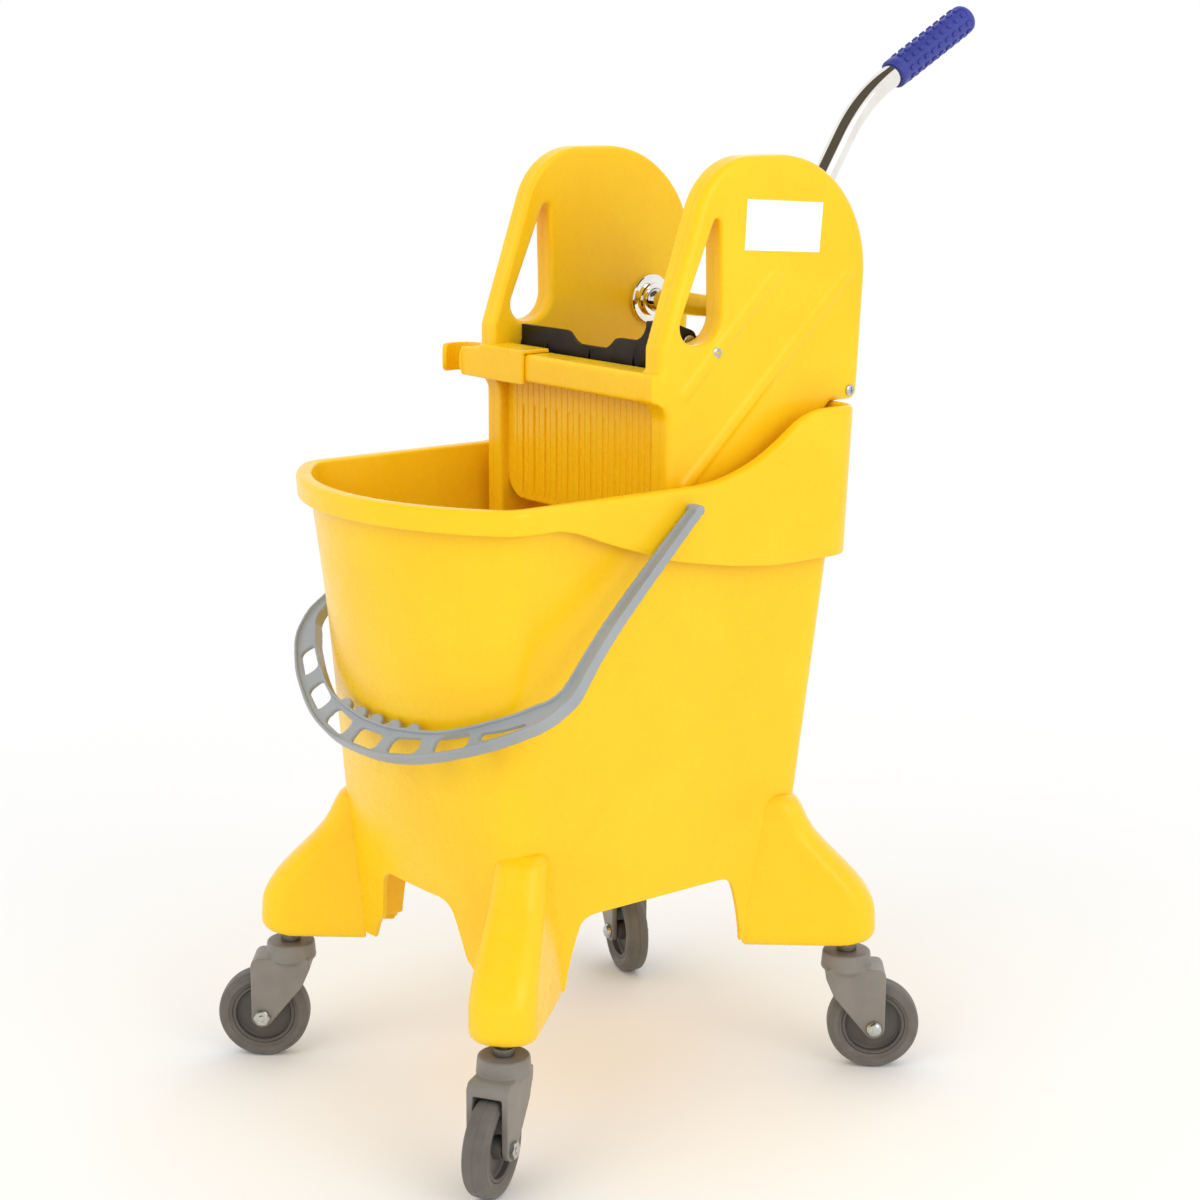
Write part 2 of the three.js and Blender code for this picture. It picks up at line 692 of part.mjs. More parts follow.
function axleSolid() {
  const end = forkHalf + seat + nutHeight + seat;
  return turned([
    [0, -forkHalf - seat - axleHeadHeight], [axleHeadRadius * 0.7, -forkHalf - seat - axleHeadHeight],
    [axleHeadRadius, -forkHalf - seat - axleHeadHeight * 0.5], [axleHeadRadius, -forkHalf - seat],
    [axleRadius, -forkHalf - seat], [axleRadius, end], [0, end],
  ], 10);
}
function nutSolid() {
  const radius = nutAcross / 2 / Math.cos(Math.PI / 6);
  const start = forkHalf + seat;
  const nut = toSolid(moved(new THREE.CylinderGeometry(radius, radius, nutHeight, 6),
    new THREE.Matrix4().makeRotationX(Math.PI / 2).setPosition(0, 0, start + nutHeight / 2)));
  return nut.subtract(barZ(axleRadius + seat, start - overrun, start + nutHeight + overrun, 0, 0, 10));
}

// ---------------------------------------------------------------- bail handle
// In its own plane: u across, v away from the pivot axis. Shares of the half span and the reach
// for the outer edge, and widths of the band there as shares of the grip's band.
const bailOuterShares = [
  [0.867, 0], [0.878, 0.036], [0.906, 0.182], [0.933, 0.309], [0.956, 0.4], [0.983, 0.509], [1, 0.6],
  [0.992, 0.655], [0.95, 0.716], [0.906, 0.756], [0.839, 0.796], [0.728, 0.851], [0.617, 0.893],
  [0.467, 0.942], [0.322, 0.975], [0.167, 0.995], [0, 1],
];
const bailInnerShares = [
  [0.8, 0], [0.808, 0.182], [0.822, 0.327], [0.839, 0.436], [0.867, 0.545], [0.894, 0.618],
  [0.889, 0.655], [0.861, 0.68], [0.833, 0.695], [0.75, 0.742], [0.644, 0.787], [0.583, 0.811],
  [0.45, 0.855], [0.322, 0.88], [0.111, 0.902], [0, 0.904],
];
// The channel in an arm starts and ends at these shares of the reach.
const bailChannelShares = [0.06, 0.66];
function bailCurve(shares) {
  return shares.map(([across, out]) => [bailHalfSpan * across, bailReach * out]);
}
const mirrored = (points) => points.slice(0, -1).map(([u, v]) => [-u, v]).reverse();
const armMiddle = rimHalfWidth + collarOverhang + bailGap + bailArmWidth / 2;
function bailSolid() {
  const outer = bailCurve(bailOuterShares);
  const inner = bailCurve(bailInnerShares);
  const ring = [
    ...outer, ...mirrored(outer), ...mirrored(inner).reverse(), ...inner.slice().reverse(),
  ];
  const half = bailThickness / 2;
  let band = prismZ(ring, -half, half);
  // The row of windows follows the grip, a shallow parabola of this width scale.
  const bowScale = bailHalfSpan * 2.17;
  for (let i = 0; i < bailWindows; i += 1) {
    const u = (i - (bailWindows - 1) / 2) * bailWindowPitch - bailWindowShift;
    const lean = Math.atan(u * 2 / bowScale);
    const end = bailWindowHeight / 2;
    const hole = prismZ(rounded([
      [-bailWindowLength / 2, -end, end * 0.7], [bailWindowLength / 2, -end, end * 0.7],
      [bailWindowLength / 2, end, end * 0.7], [-bailWindowLength / 2, end, end * 0.7],
    ], 3), -half - overrun, half + overrun);
    band = band.subtract(hole.rotate([0, 0, -THREE.MathUtils.radToDeg(lean)])
      .translate([u, bailReach - bailWindowDrop - u * u / bowScale, 0]));
  }
  for (let i = 0; i < bailBumps; i += 1) {
    const u = (i - (bailBumps - 1) / 2) * bailBumpPitch;
    const v = bailReach * bailInnerShares[bailInnerShares.length - 1][1] - u * u / (bailHalfSpan * 4);
    band = band.add(barZ(bailBumpRadius, -half * 0.9, 0, u, v + bailBumpSink, 14));
  }
  const [from, to] = bailChannelShares.map((share) => bailReach * share);
  for (const side of [-1, 1]) {
    const inside = ([, v]) => v > from && v < to;
    const edge = (line, shift) => line.map(([u, v]) => [side * (u + shift), v]).filter(inside);
    const outside = edge(outer, -bailFlange);
    const channel = [...outside, ...edge(inner, bailFlange).reverse()];
    for (const [low, high] of [[-half - overrun, bailChannelDepth - half], [half - bailChannelDepth, half + overrun]]) {
      band = band.subtract(prismZ(channel, low, high));
    }
  }
  for (const side of [-1, 1]) {
    const x0 = side * armMiddle - bailArmWidth / 2;
    const eye = barX(bailEyeRadius, x0, x0 + bailArmWidth, 0, 0, 20);
    band = band.add(eye);
    const [near, far] = [armMiddle - bailArmWidth - overrun, armMiddle + bailArmWidth / 2 - bailEndWall];
    band = band.subtract(barX(bailPinRadius + runningClearance, Math.min(side * near, side * far),
      Math.max(side * near, side * far), 0, 0, 16));
  }
  return band;
}
function bailPinSolid() {
  const collarFace = rimHalfWidth + collarOverhang;
  const inside = collarFace - collarWall - seat - bailPinHeadHeight;
  const outside = collarFace + bailGap + bailArmWidth - bailEndWall - seat;
  return turned([
    [0, inside], [bailPinHead, inside], [bailPinHead, inside + bailPinHeadHeight],
    [bailPinRadius, inside + bailPinHeadHeight], [bailPinRadius, outside], [0, outside],
  ], 18);
}

// ---------------------------------------------------------------- wringer frame
const cheekOuter = cheekInner + cheekThickness;
const parting = cheekInner + cheekThickness * partingShare;
const restZ = rearRimHeight + seat;
const footEnd = footRestY + footRest;
// Cheek outline above the lip: depth and height shares, then corner radius as a share of the depth.
const cheekCornerShares = [[0, 0, 0.05], [0.236, 1, 0.27], [1.028, 1, 0.44]];
function cheekOutline() {
  const rise = cheekTop - cheekKnee;
  const upper = cheekCornerShares.map(([y, z, r]) => [
    cheekFrontY + cheekDepth * y, cheekKnee + rise * z, cheekDepth * r,
  ]);
  const tuck = footRestY - rimRear + shellRearAt(cheekFoot);
  const back = cheekFrontY + cheekStep;
  const stepZ = lipBottom - lipWall;
  return rounded([
    [back, cheekFoot, 0], [back, stepZ, cheekStep * 0.34], [cheekFrontY, stepZ, cheekStep * 0.62],
    ...upper, [footEnd, restZ, lipWall * 2],
    [footRestY, restZ, 0], [footRestY - pressWall * 3, restZ - pressWall * 3, 0],
    [tuck * 0.72, cheekFoot, lipWall * 4],
  ], 5);
}
function shellRearAt(height) {
  return THREE.MathUtils.mapLinear(height, baseLevel, rimLevel, baseRear, rimRear);
}
// Hand slot in the cheek: narrow at the top, wide and round below.
const slotCornerShares = [[0.27, 0.757, 0.011], [0.284, 0.014, 0.105], [0.052, 0.009, 0.065]];
function slotOutline() {
  const rise = cheekTop - cheekKnee;
  return rounded(slotCornerShares.map(([y, z, r]) => [
    cheekFrontY + cheekDepth * y, cheekKnee + rise * z, cheekDepth * r,
  ]), 4);
}

// One half of a cheek: a wall from x0 outwards, a flange round its edge and the slot's wall.
function cheekShell(face, back, edge) {
  const outline = cheekOutline();
  const full = prismX(outline, Math.min(face, edge), Math.max(face, edge));
  const from = back;
  const to = edge + Math.sign(edge - face) * overrun;
  const hollow = prismX(inset(outline, cheekWall), Math.min(from, to), Math.max(from, to))
    .subtract(prismX(inset(slotOutline(), -slotWall), Math.min(from, to), Math.max(from, to)));
  const through = prismX(slotOutline(), Math.min(face, edge) - overrun, Math.max(face, edge) + overrun);
  return full.subtract(hollow).subtract(through);
}

// Screws of a cover: below the hand slot, over the foot on the rim, and low inside the bucket.
function screwSpots() {
  return [
    [cheekFrontY + cheekDepth * 0.256, THREE.MathUtils.lerp(restZ, cheekKnee, 0.9)],
    [footEnd - screwBossRadius * 1.6, restZ + screwBossRadius * 1.3],
    [cheekFrontY + cheekDepth * 0.3, cheekFoot + screwBossRadius * 4],
  ];
}

const lipProfile = () => [
  [pressFrontY + pressWall, lipTop], [-lipFront + lipWall / 2, lipTop], [-lipFront, lipTop - lipWall / 2],
  [-lipFront, lipBottom + lipWall], [-lipFront + lipWall, lipBottom],
  [-lipFront + lipWall, lipTop - lipWall], [pressFrontY + pressWall, lipTop - lipWall],
];
const lipBar = () => [
  [cheekFrontY + seat, lipTop], [-lipFront + lipWall / 2, lipTop], [-lipFront, lipTop - lipWall / 2],
  [-lipFront, lipBottom + lipWall], [-lipFront + lipWall, lipBottom],
  [cheekFrontY + cheekWall * 0.5, lipBottom - lipWall / 2], [cheekFrontY + cheekWall * 0.8, lipBottom],
  [cheekFrontY + cheekWall * 0.8, lipTop],
];

function wringerFrameSolid() {
  const parts = [];
  for (const side of [-1, 1]) {
    parts.push(cheekShell(side * cheekInner, side * (cheekInner + cheekWall), side * (parting - seat / 2)));
  }
  const wide = cheekInner + cheekWall / 2;
  const wallBack = pressFrontY + pressWall;
  // front wall with rounded lower corners
  parts.push(prismY(rounded([
    [-wide, basketFloor - pressWall, basketCorner], [wide, basketFloor - pressWall, basketCorner],
    [wide, lipTop - lipWall / 2, 0], [-wide, lipTop - lipWall / 2, 0],
  ]), pressFrontY, wallBack));
  parts.push(prismX(lipProfile(), -wide, wide));
  for (const side of [-1, 1]) {
    const [a, b] = [side * (wide - cheekWall), side * (parting - seat / 2)];
    parts.push(prismX(lipBar(), Math.min(a, b), Math.max(a, b)));
  }
  const comb = [];
  for (let i = 0; i < fineRibs; i += 1) {
    const x = (i - (fineRibs - 1) / 2) * fineRibPitch;
    const w = fineRibPitch / 4;
    comb.push([x - w, pressFrontY], [x - w / 2, pressFrontY - fineRibHeight],
      [x + w / 2, pressFrontY - fineRibHeight], [x + w, pressFrontY]);
  }
  const ribRoot = pressFrontY + pressWall / 2;
  comb.push([comb[comb.length - 1][0], ribRoot], [comb[0][0], ribRoot]);
  parts.push(prismZ(comb, basketFloor, lipTop - lipWall * 1.5));
  // basket floor and sloping fixed wall behind the press plate
  const lean = Math.atan2(fixedWallTop - basketFloor, fixedWallTopY - fixedWallFootY);
  const shiftY = pressWall / Math.sin(lean);
  parts.push(prismX([
    [pressFrontY, basketFloor - pressWall], [fixedWallFootY + shiftY, basketFloor - pressWall],
    [fixedWallTopY + shiftY, fixedWallTop - pressWall], [fixedWallTopY + shiftY * 3, fixedWallTop - pressWall],
    [fixedWallTopY + shiftY * 3, fixedWallTop], [fixedWallTopY, fixedWallTop],
    [fixedWallFootY, basketFloor], [pressFrontY, basketFloor],
  ], -wide, wide));
  let frame = union(parts);
  const slits = [];
  for (let i = 0; i < drainSlits; i += 1) {
    const x = (i - (drainSlits - 1) / 2) * drainSlitPitch;
    const w = drainSlitWidth / 2;
    slits.push(block(x - w, x + w, pressFrontY - overrun, pressFrontY + pressWall * grooveShare,
      basketFloor + basketCorner / 2, drainSlitTop));
    slits.push(block(x - w, x + w, wallBack + pressWall, fixedWallFootY - pressWall,
      basketFloor - pressWall - overrun, basketFloor + overrun / 4));
  }
  for (let i = 0; i < fixedSlits; i += 1) {
    const x = (i - (fixedSlits - 1) / 2) * drainSlitPitch;
    const w = drainSlitWidth / 2;
    slits.push(block(x - w, x + w, fixedWallFootY, fixedWallTopY + overrun,
      basketFloor + basketCorner / 2, fixedWallTop - basketCorner / 2));
  }
  slits.push(barX(shaftRadius + runningClearance, -cheekOuter, cheekOuter, shaftY, shaftZ, 24));
  slits.push(barX(hingeRodRadius + seat, -cheekOuter, cheekOuter, plateHingeY, plateHingeZ, 14));
  for (const [y, z] of screwSpots()) {
    for (const side of [-1, 1]) {
      const [a, b] = [side * cheekInner, side * parting];
      frame = frame.add(barX(screwBossRadius, Math.min(a, b) + (side < 0 ? seat : 0),
        Math.max(a, b) - (side > 0 ? seat : 0), y, z, 8));
      slits.push(barX(screwShankRadius + seat, Math.min(side * (cheekInner + cheekWall), side * cheekOuter),
        Math.max(side * (cheekInner + cheekWall), side * cheekOuter), y, z, 8));
    }
  }
  return cutAll(frame, slits);
}

// Embossed ribs on the cover, as shares of the cheek's depth and of its height over the foot.
const embossShares = [
  [[0.537, 0.698], [0.108, 0.413]],
  [[0.918, 0.695], [0.118, 0.181]],
];
function coverSolid(side) {
  let cover = cheekShell(side * cheekOuter, side * (cheekOuter - cheekWall), side * (parting + seat / 2));
  const [a, b] = [side * cheekOuter, side * (parting + seat / 2)];
  const [low, high] = [Math.min(a, b), Math.max(a, b)];
  cover = cover.add(prismX(lipBar(), low, high));
  const ringLow = Math.min(side * (cheekOuter - cheekWall / 2), side * (parting + seat / 2));
  const ringHigh = Math.max(side * (cheekOuter - cheekWall / 2), side * (parting + seat / 2));
  cover = cover.add(barX(shaftRadius + cheekWall * 1.5, ringLow, ringHigh, shaftY, shaftZ, 20));
  const blind = side * (cheekOuter - cheekWall);
  const inward = side * (parting - overrun);
  cover = cover.subtract(barX(shaftRadius + runningClearance, Math.min(blind, inward),
    Math.max(blind, inward), shaftY, shaftZ, 20));
  for (const [y, z] of screwSpots()) {
    cover = cover.add(barX(screwBossRadius, ringLow, ringHigh, y, z, 8));
  }
  for (const [from, to] of embossShares) {
    const spot = ([y, z]) => new THREE.Vector2(cheekFrontY + cheekDepth * y,
      cheekFoot + (cheekTop - cheekFoot) * z);
    const [p, q] = [spot(from), spot(to)];
    const along = q.clone().sub(p).normalize();
    const turn = Math.atan2(along.y, along.x);
    const half = embossWidth / 2;
    const track = [
      ...arc(p.x, p.y, half, turn + Math.PI / 2, turn + Math.PI * 1.5, 5),
      ...arc(q.x, q.y, half, turn - Math.PI / 2, turn + Math.PI / 2, 5),
    ];
    const out = side * (cheekOuter + embossHeight);
    const inn = side * (cheekOuter - cheekWall / 2);
    cover = cover.add(prismX(track, Math.min(out, inn), Math.max(out, inn))
      .intersect(prismX(inset(cheekOutline(), cheekWall / 2), Math.min(out, inn), Math.max(out, inn))));
  }
  const past = side * (cheekOuter + overrun);
  for (const [y, z] of screwSpots()) {
    cover = cover.subtract(barX(screwShankRadius + seat, low - overrun, high + overrun, y, z, 8));
    cover = cover.subtract(barX(screwRadius + seat, Math.min(side * cheekOuter, past),
      Math.max(side * cheekOuter, past), y, z, 12));
  }
  return cover;
}
function screwSolid() {
  const face = cheekOuter + seat;
  return turned([
    [0, face - screwLength], [screwShankRadius, face - screwLength], [screwShankRadius, face],
    [screwRadius, face], [screwRadius * 0.75, face + screwHeadHeight * 0.8],
    [screwRadius * 0.3, face + screwHeadHeight], [0, face + screwHeadHeight],
  ], 10);
}

// ---------------------------------------------------------------- press plate
function pressPlateSolid() {
  const face = plateHingeY - plateWall / 2;
  const back = face + plateWall;
  const end = plateHalf;
  const sheet = prismY([
    [-end, plateHingeZ], [end, plateHingeZ], [end, plateTop],
    ...notchPoints(), [-end, plateTop],
  ], face, back);
  const parts = [sheet, barX(barrelRadius, -end, end, plateHingeY, plateHingeZ, 18)];
  const gussetRoot = plateTop - (plateTop - plateHingeZ) * 0.5;
  const gusset = [
    [face + plateWall / 2, plateTop - notchDepth * 1.2], [face, plateTop - notchDepth * 1.2],
    [face - plateRibHeight, plateTop - notchDepth * 2.4], [face - plateRibHeight, gussetRoot],
    [face + plateWall / 2, gussetRoot - plateRibHeight * 2],
  ];
  for (let i = 0; i < gussets; i += 1) {
    const x = (i - (gussets - 1) / 2) * gussetPitch - gussetWall;
    parts.push(prismX(gusset, x - gussetWall / 2, x + gussetWall / 2));
  }
  for (const side of [-1, 1]) {
    const x = side * (end - gussetWall / 2);
    parts.push(prismX(gusset, x - gussetWall / 2, x + gussetWall / 2));
  }
  for (let i = 0; i < plateBackRibs; i += 1) {
    const x = (i - (plateBackRibs - 1) / 2) * plateBackRibPitch;
    parts.push(block(x - gussetWall / 2, x + gussetWall / 2, back - seat, back + plateRibHeight,
      plateHingeZ + barrelRadius, plateTop - notchDepth * 2));
  }
  // horn that carries the pull link, on the side of the crank
  const top = plateTop + hornHeight;
  const hornEnd = face + hornLength;
  parts.push(prismX(rounded([
    [face, plateTop - hornLength], [face, top, 0], [face + plateWall * 2, top, hornHeight / 4],
    [hornEnd, plateTop + linkEyeRadius, linkEyeRadius * 0.9],
    [hornEnd, plateTop - linkEyeRadius * 1.2, linkEyeRadius],
    [back, plateTop - hornLength * 1.2, 0],
  ].map(([y, z, r = 0]) => [y, z, r])), hornInner, end));
  // fillet between the horn and the plate's top edge
  parts.push(prismY([
    ...arc(hornInner - hornHeight, plateTop + hornHeight, hornHeight, -Math.PI / 2, 0, 5),
    [hornInner + seat, top], [hornInner + seat, plateTop - seat],
    [hornInner - hornHeight, plateTop - seat],
  ], face, back));
  const bay = block(linkX - seat * 2, linkX + linkWall + seat * 2, back + overrun, hornEnd + overrun,
    plateTop - hornLength * 1.5, top + overrun);
  const tools = [
    bay,
    barX(crankPinRadius + seat, hornInner - overrun, end + overrun, earPinY, earPinZ, 16),
    barX(hingeRodRadius + runningClearance, -end - overrun, end + overrun, plateHingeY, plateHingeZ, 14),
  ];
  return cutAll(union(parts), tools);
}
// Wave-shaped dip in the top edge, from the right end of the notch to the left.
const notchShares = [[1, 0], [0.88, 0.1], [0.66, 0.75], [0.5, 1], [-0.5, 1], [-0.66, 0.75],
  [-0.88, 0.1], [-1, 0]];
function notchPoints() {
  return notchShares.map(([across, down]) => [
    notchX + notchHalf * across, plateTop - notchDepth * down,
  ]);
}

// ---------------------------------------------------------------- shaft, lever and linkage
function shaftSolid() {
  const end = cheekOuter - cheekWall - seat;
  return barX(shaftRadius, -end, end, shaftY, shaftZ, 24);
}
function flangeSolid(side) {
  const wall = cheekInner - seat;
  const bore = shaftRadius + runningClearance;
  return turnedX([
    [bore, wall - flangeDisc - flangeHub], [flangeHubRadius * 0.93, wall - flangeDisc - flangeHub],
    [flangeHubRadius, wall - flangeDisc - flangeHub * 0.7], [flangeHubRadius, wall - flangeDisc * 1.3],
    [flangeHubRadius * 1.25, wall - flangeDisc], [flangeRadius * 0.95, wall - flangeDisc],
    [flangeRadius, wall - flangeDisc * 0.7], [flangeRadius, wall], [bore, wall],
  ], 20, side, shaftY, shaftZ);
}
const leverTurn = degrees(leverLean);
const gripTurn = degrees(gripLean);
const along = (turn, length) => new THREE.Vector3(0, Math.cos(turn) * length, Math.sin(turn) * length);
const leverAxis = new THREE.Vector3(leverX, shaftY, shaftZ);
const tubeStart = leverAxis.clone().add(along(leverTurn, shaftRadius + seat * 3));
const bendCorner = leverAxis.clone().add(along(leverTurn, leverStraight));
const gripStart = bendCorner.clone().add(along(gripTurn, bendLength));
const gripEnd = gripStart.clone().add(along(gripTurn, gripLength));

function sweep(path, radius, sides, steps) {
  const circle = new THREE.Shape(arc(0, 0, radius, 0, 2 * Math.PI * (1 - 1 / sides), sides - 1)
    .map(([u, v]) => new THREE.Vector2(u, v)));
  return toSolid(new THREE.ExtrudeGeometry(circle, { steps, extrudePath: path, bevelEnabled: false }));
}
function leverPath(from, to) {
  const path = new THREE.CurvePath();
  const before = bendCorner.clone().sub(along(leverTurn, bendLength));
  path.add(new THREE.LineCurve3(from, before));
  path.add(new THREE.QuadraticBezierCurve3(before, bendCorner, gripStart));
  path.add(new THREE.LineCurve3(gripStart, to));
  return path;
}
function leverSolid() {
  const tubeEnd = gripEnd.clone().sub(along(gripTurn, gripWall + seat));
  const path = leverPath(tubeStart, tubeEnd);
  return sweep(path, leverRadius, 14, 16);
}
function gripSolid() {
  const from = gripStart.clone().add(along(gripTurn, gripGap));
  const body = sweep(new THREE.LineCurve3(from, gripEnd), leverRadius + gripWall, 20, 1);
  const bore = sweep(new THREE.LineCurve3(from.clone().sub(along(gripTurn, overrun)),
    gripEnd.clone().sub(along(gripTurn, gripWall))), leverRadius + seat, 18, 1);
  return body.subtract(bore);
}
function socketSolid() {
  const sleeve = barX(socketRadius, leverX - socketLength / 2, leverX + socketLength / 2, shaftY, shaftZ, 22);
  const neckPath = new THREE.LineCurve3(leverAxis.clone(),
    leverAxis.clone().add(along(leverTurn, socketNeck)));
  const neck = sweep(neckPath, leverRadius + cheekWall, 20, 1);
  const bore = sweep(new THREE.LineCurve3(leverAxis.clone().add(along(leverTurn, shaftRadius + seat * 2)),
    leverAxis.clone().add(along(leverTurn, socketNeck + overrun))), leverRadius + seat, 18, 1);
  const shaftBore = barX(shaftRadius + seat, leverX - socketLength, leverX + socketLength, shaftY, shaftZ, 24);
  return cutAll(sleeve.add(neck), [bore, shaftBore]);
}
const crankTurn = degrees(crankRest);
const crankPinY = shaftY + crankRadius * Math.cos(crankTurn);
const crankPinZ = shaftZ + crankRadius * Math.sin(crankTurn);
// Outline of two round ends joined by their outer tangents.
function strap(y0, z0, r0, y1, z1, r1) {
  const span = Math.hypot(y1 - y0, z1 - z0);
  const turn = Math.atan2(z1 - z0, y1 - y0);
  const lean = Math.acos((r0 - r1) / span);
  return [
    ...arc(y0, z0, r0, turn + lean, turn + 2 * Math.PI - lean, 12),
    ...arc(y1, z1, r1, turn - lean, turn + lean, 7),
  ];
}
function crankSolid() {
  const arm = prismX(strap(shaftY, shaftZ, socketRadius, crankPinY, crankPinZ, crankEyeRadius),
    crankX, crankX + crankArm);
  return cutAll(arm, [
    barX(shaftRadius + seat, crankX - overrun, crankX + crankArm + overrun, shaftY, shaftZ, 24),
    barX(crankPinRadius + seat, crankX - overrun, crankX + crankArm + overrun, crankPinY, crankPinZ, 14),
  ]);
}
// A pin along X with a head at each end, from x0 to x1 between the heads.
function pinSolid(x0, x1, y, z) {
  return shifted(turnedX([
    [0, x0 - pinHeadHeight], [pinHeadRadius, x0 - pinHeadHeight], [pinHeadRadius, x0], [crankPinRadius, x0],
    [crankPinRadius, x1], [pinHeadRadius, x1], [pinHeadRadius, x1 + pinHeadHeight], [0, x1 + pinHeadHeight],
  ], 14, 1, y, z), 0, 0, 0);
}
function linkSolid() {
  const slotTall = linkSlotTravel / 2 + crankPinRadius + runningClearance;
  const slotHalf = crankPinRadius + linkSlotWidthGap;
  const rim = linkEyeRadius - crankPinRadius;
  const middle = earPinZ + linkSlotOffset;
  const [x0, x1] = [linkX, linkX + linkWall];
  const frame = (grow) => rounded([
    [crankPinY - slotHalf - grow, middle - slotTall - grow, slotHalf + grow - seat],
    [crankPinY + slotHalf + grow, middle - slotTall - grow, slotHalf + grow - seat],
    [crankPinY + slotHalf + grow, middle + slotTall + grow, slotHalf + grow - seat],
    [crankPinY - slotHalf - grow, middle + slotTall + grow, slotHalf + grow - seat],
  ], 4);
  const bar = prismX([
    [earPinY, earPinZ - linkBar / 2], [crankPinY - slotHalf - rim / 2, middle - linkBar / 2],
    [crankPinY - slotHalf - rim / 2, middle + linkBar / 2], [earPinY, earPinZ + linkBar / 2],
  ], x0, x1);
  const eye = barX(linkEyeRadius, x0, x1, earPinY, earPinZ, 20);
  return cutAll(union([bar, eye, prismX(frame(rim), x0, x1)]), [
    prismX(frame(0), x0 - overrun, x1 + overrun),
    barX(crankPinRadius + runningClearance, x0 - overrun, x1 + overrun, earPinY, earPinZ, 14),
  ]);
}

// ---------------------------------------------------------------- mop handle clip
function clipSolid() {
  const half = degrees(clipMouth / 2);
  const from = -Math.PI / 2 + half;
  const to = Math.PI * 1.5 - half;
  const ring = [
    ...arc(-clipX, clipY, clipRadius, from, to, 18),
    ...arc(-clipX, clipY, clipRadius - clipWall, to, from, 18),
  ];
  const low = lipBottom - lipWall / 2;
  const high = lipTop + seat + clipSleeveWall;
  const front = -lipFront - seat - clipSleeveWall;
  const sleeveLeft = clipSleeveEnd + clipSleeve;
  const ringJoin = clipX - clipRadius * Math.cos(from) + clipWall / 4;
  const plate = block(-ringJoin, -clipSleeveEnd, front, front + clipSleeveWall, low, low + clipHeight);
  const top = block(-(cheekInner - seat), -clipSleeveEnd, front, pressFrontY + pressWall / 2,
    lipTop + seat, high);
  const upright = block(-sleeveLeft, -clipSleeveEnd, front, front + clipSleeveWall, low, high);
  return union([prismZ(ring, low, low + clipHeight), plate, top, upright]);
}

// ---------------------------------------------------------------- assembly
const bucketAndWringer = new THREE.Group();
function addPiece(parent, name, solid, material) {
  const mesh = new THREE.Mesh(toGeometry(solid), material());
  mesh.name = name;
  parent.add(mesh);
  return mesh;
}

addPiece(bucketAndWringer, 'bucket', bucketSolid(), yellowPlastic);

const casterNames = ['front_left', 'front_right', 'rear_right', 'rear_left'];
const swivels = [frontLeftSwivel, frontRightSwivel, rearRightSwivel, rearLeftSwivel];
corners.forEach(([sx, sy], i) => {
  const caster = new THREE.Group();
  caster.position.set(sx * stemHalfTrack, sy * stemHalfBase, 0);
  caster.rotation.z = degrees(swivels[i]);
  bucketAndWringer.add(caster);
  const wheel = new THREE.Group();
  wheel.position.set(trail, 0, wheelRadius);
  wheel.rotation.x = Math.PI / 2;
  caster.add(wheel);
  const place = casterNames[i];
  addPiece(caster, `stem_${place}`, stemSolid(), zinc);
  addPiece(caster, `fork_${place}`, forkSolid(), casterPlastic);
  addPiece(wheel, `hub_${place}`, hubSolid(), casterPlastic);
  addPiece(wheel, `tyre_${place}`, tyreSolid(), tyreRubber);
  addPiece(wheel, `axle_${place}`, axleSolid(), zinc);
  addPiece(wheel, `axle_nut_${place}`, nutSolid(), zinc);
});

// The bail's own plane is turned about the pivot axis until it hangs forward and down.
const bail = new THREE.Group();
bail.position.set(0, bailPivotY, bailPivotZ);
bail.rotation.x = Math.PI + degrees(bailHang);
bucketAndWringer.add(bail);
addPiece(bail, 'bail_handle', bailSolid(), greyPlastic);
for (const [side, name] of [[-1, 'left'], [1, 'right']]) {
  const pin = new THREE.Group();
  pin.position.set(0, bailPivotY, bailPivotZ);
  pin.rotation.y = side * Math.PI / 2;
  bucketAndWringer.add(pin);
  addPiece(pin, `bail_pin_${name}`, bailPinSolid(), greyPlastic);
}

addPiece(bucketAndWringer, 'wringer_frame', wringerFrameSolid(), yellowPlastic);
for (const [side, name] of [[-1, 'left'], [1, 'right']]) {
  addPiece(bucketAndWringer, `cheek_cover_${name}`, coverSolid(side), yellowPlastic);
  addPiece(bucketAndWringer, `shaft_flange_${name}`, flangeSolid(side), chrome);
  screwSpots().forEach(([y, z], i) => {
    const screw = new THREE.Group();
    screw.position.set(0, y, z);
    screw.rotation.y = side * Math.PI / 2;
    bucketAndWringer.add(screw);
    addPiece(screw, `cover_screw_${name}_${i + 1}`, screwSolid(), zinc);
  });
}
addPiece(bucketAndWringer, 'mop_clip', clipSolid(), yellowPlastic);
addPiece(bucketAndWringer, 'press_plate', pressPlateSolid(), blackPlastic);
addPiece(bucketAndWringer, 'press_plate_rod',
  barX(hingeRodRadius, -cheekInner - cheekWall, cheekInner + cheekWall, plateHingeY, plateHingeZ, 14), zinc);
addPiece(bucketAndWringer, 'ear_pin',
  pinSolid(hornInner - seat, plateHalf + seat, earPinY, earPinZ), zinc);
addPiece(bucketAndWringer, 'pull_link', linkSolid(), zinc);
addPiece(bucketAndWringer, 'crank_pin',
  pinSolid(linkX - seat, crankX + crankArm + seat, crankPinY, crankPinZ), zinc);
addPiece(bucketAndWringer, 'crank_arm', crankSolid(), zinc);
addPiece(bucketAndWringer, 'cross_shaft', shaftSolid(), chrome);
addPiece(bucketAndWringer, 'lever_socket', socketSolid(), chrome);
addPiece(bucketAndWringer, 'lever_tube', leverSolid(), chrome);
addPiece(bucketAndWringer, 'lever_grip', gripSolid(), bluePlastic);

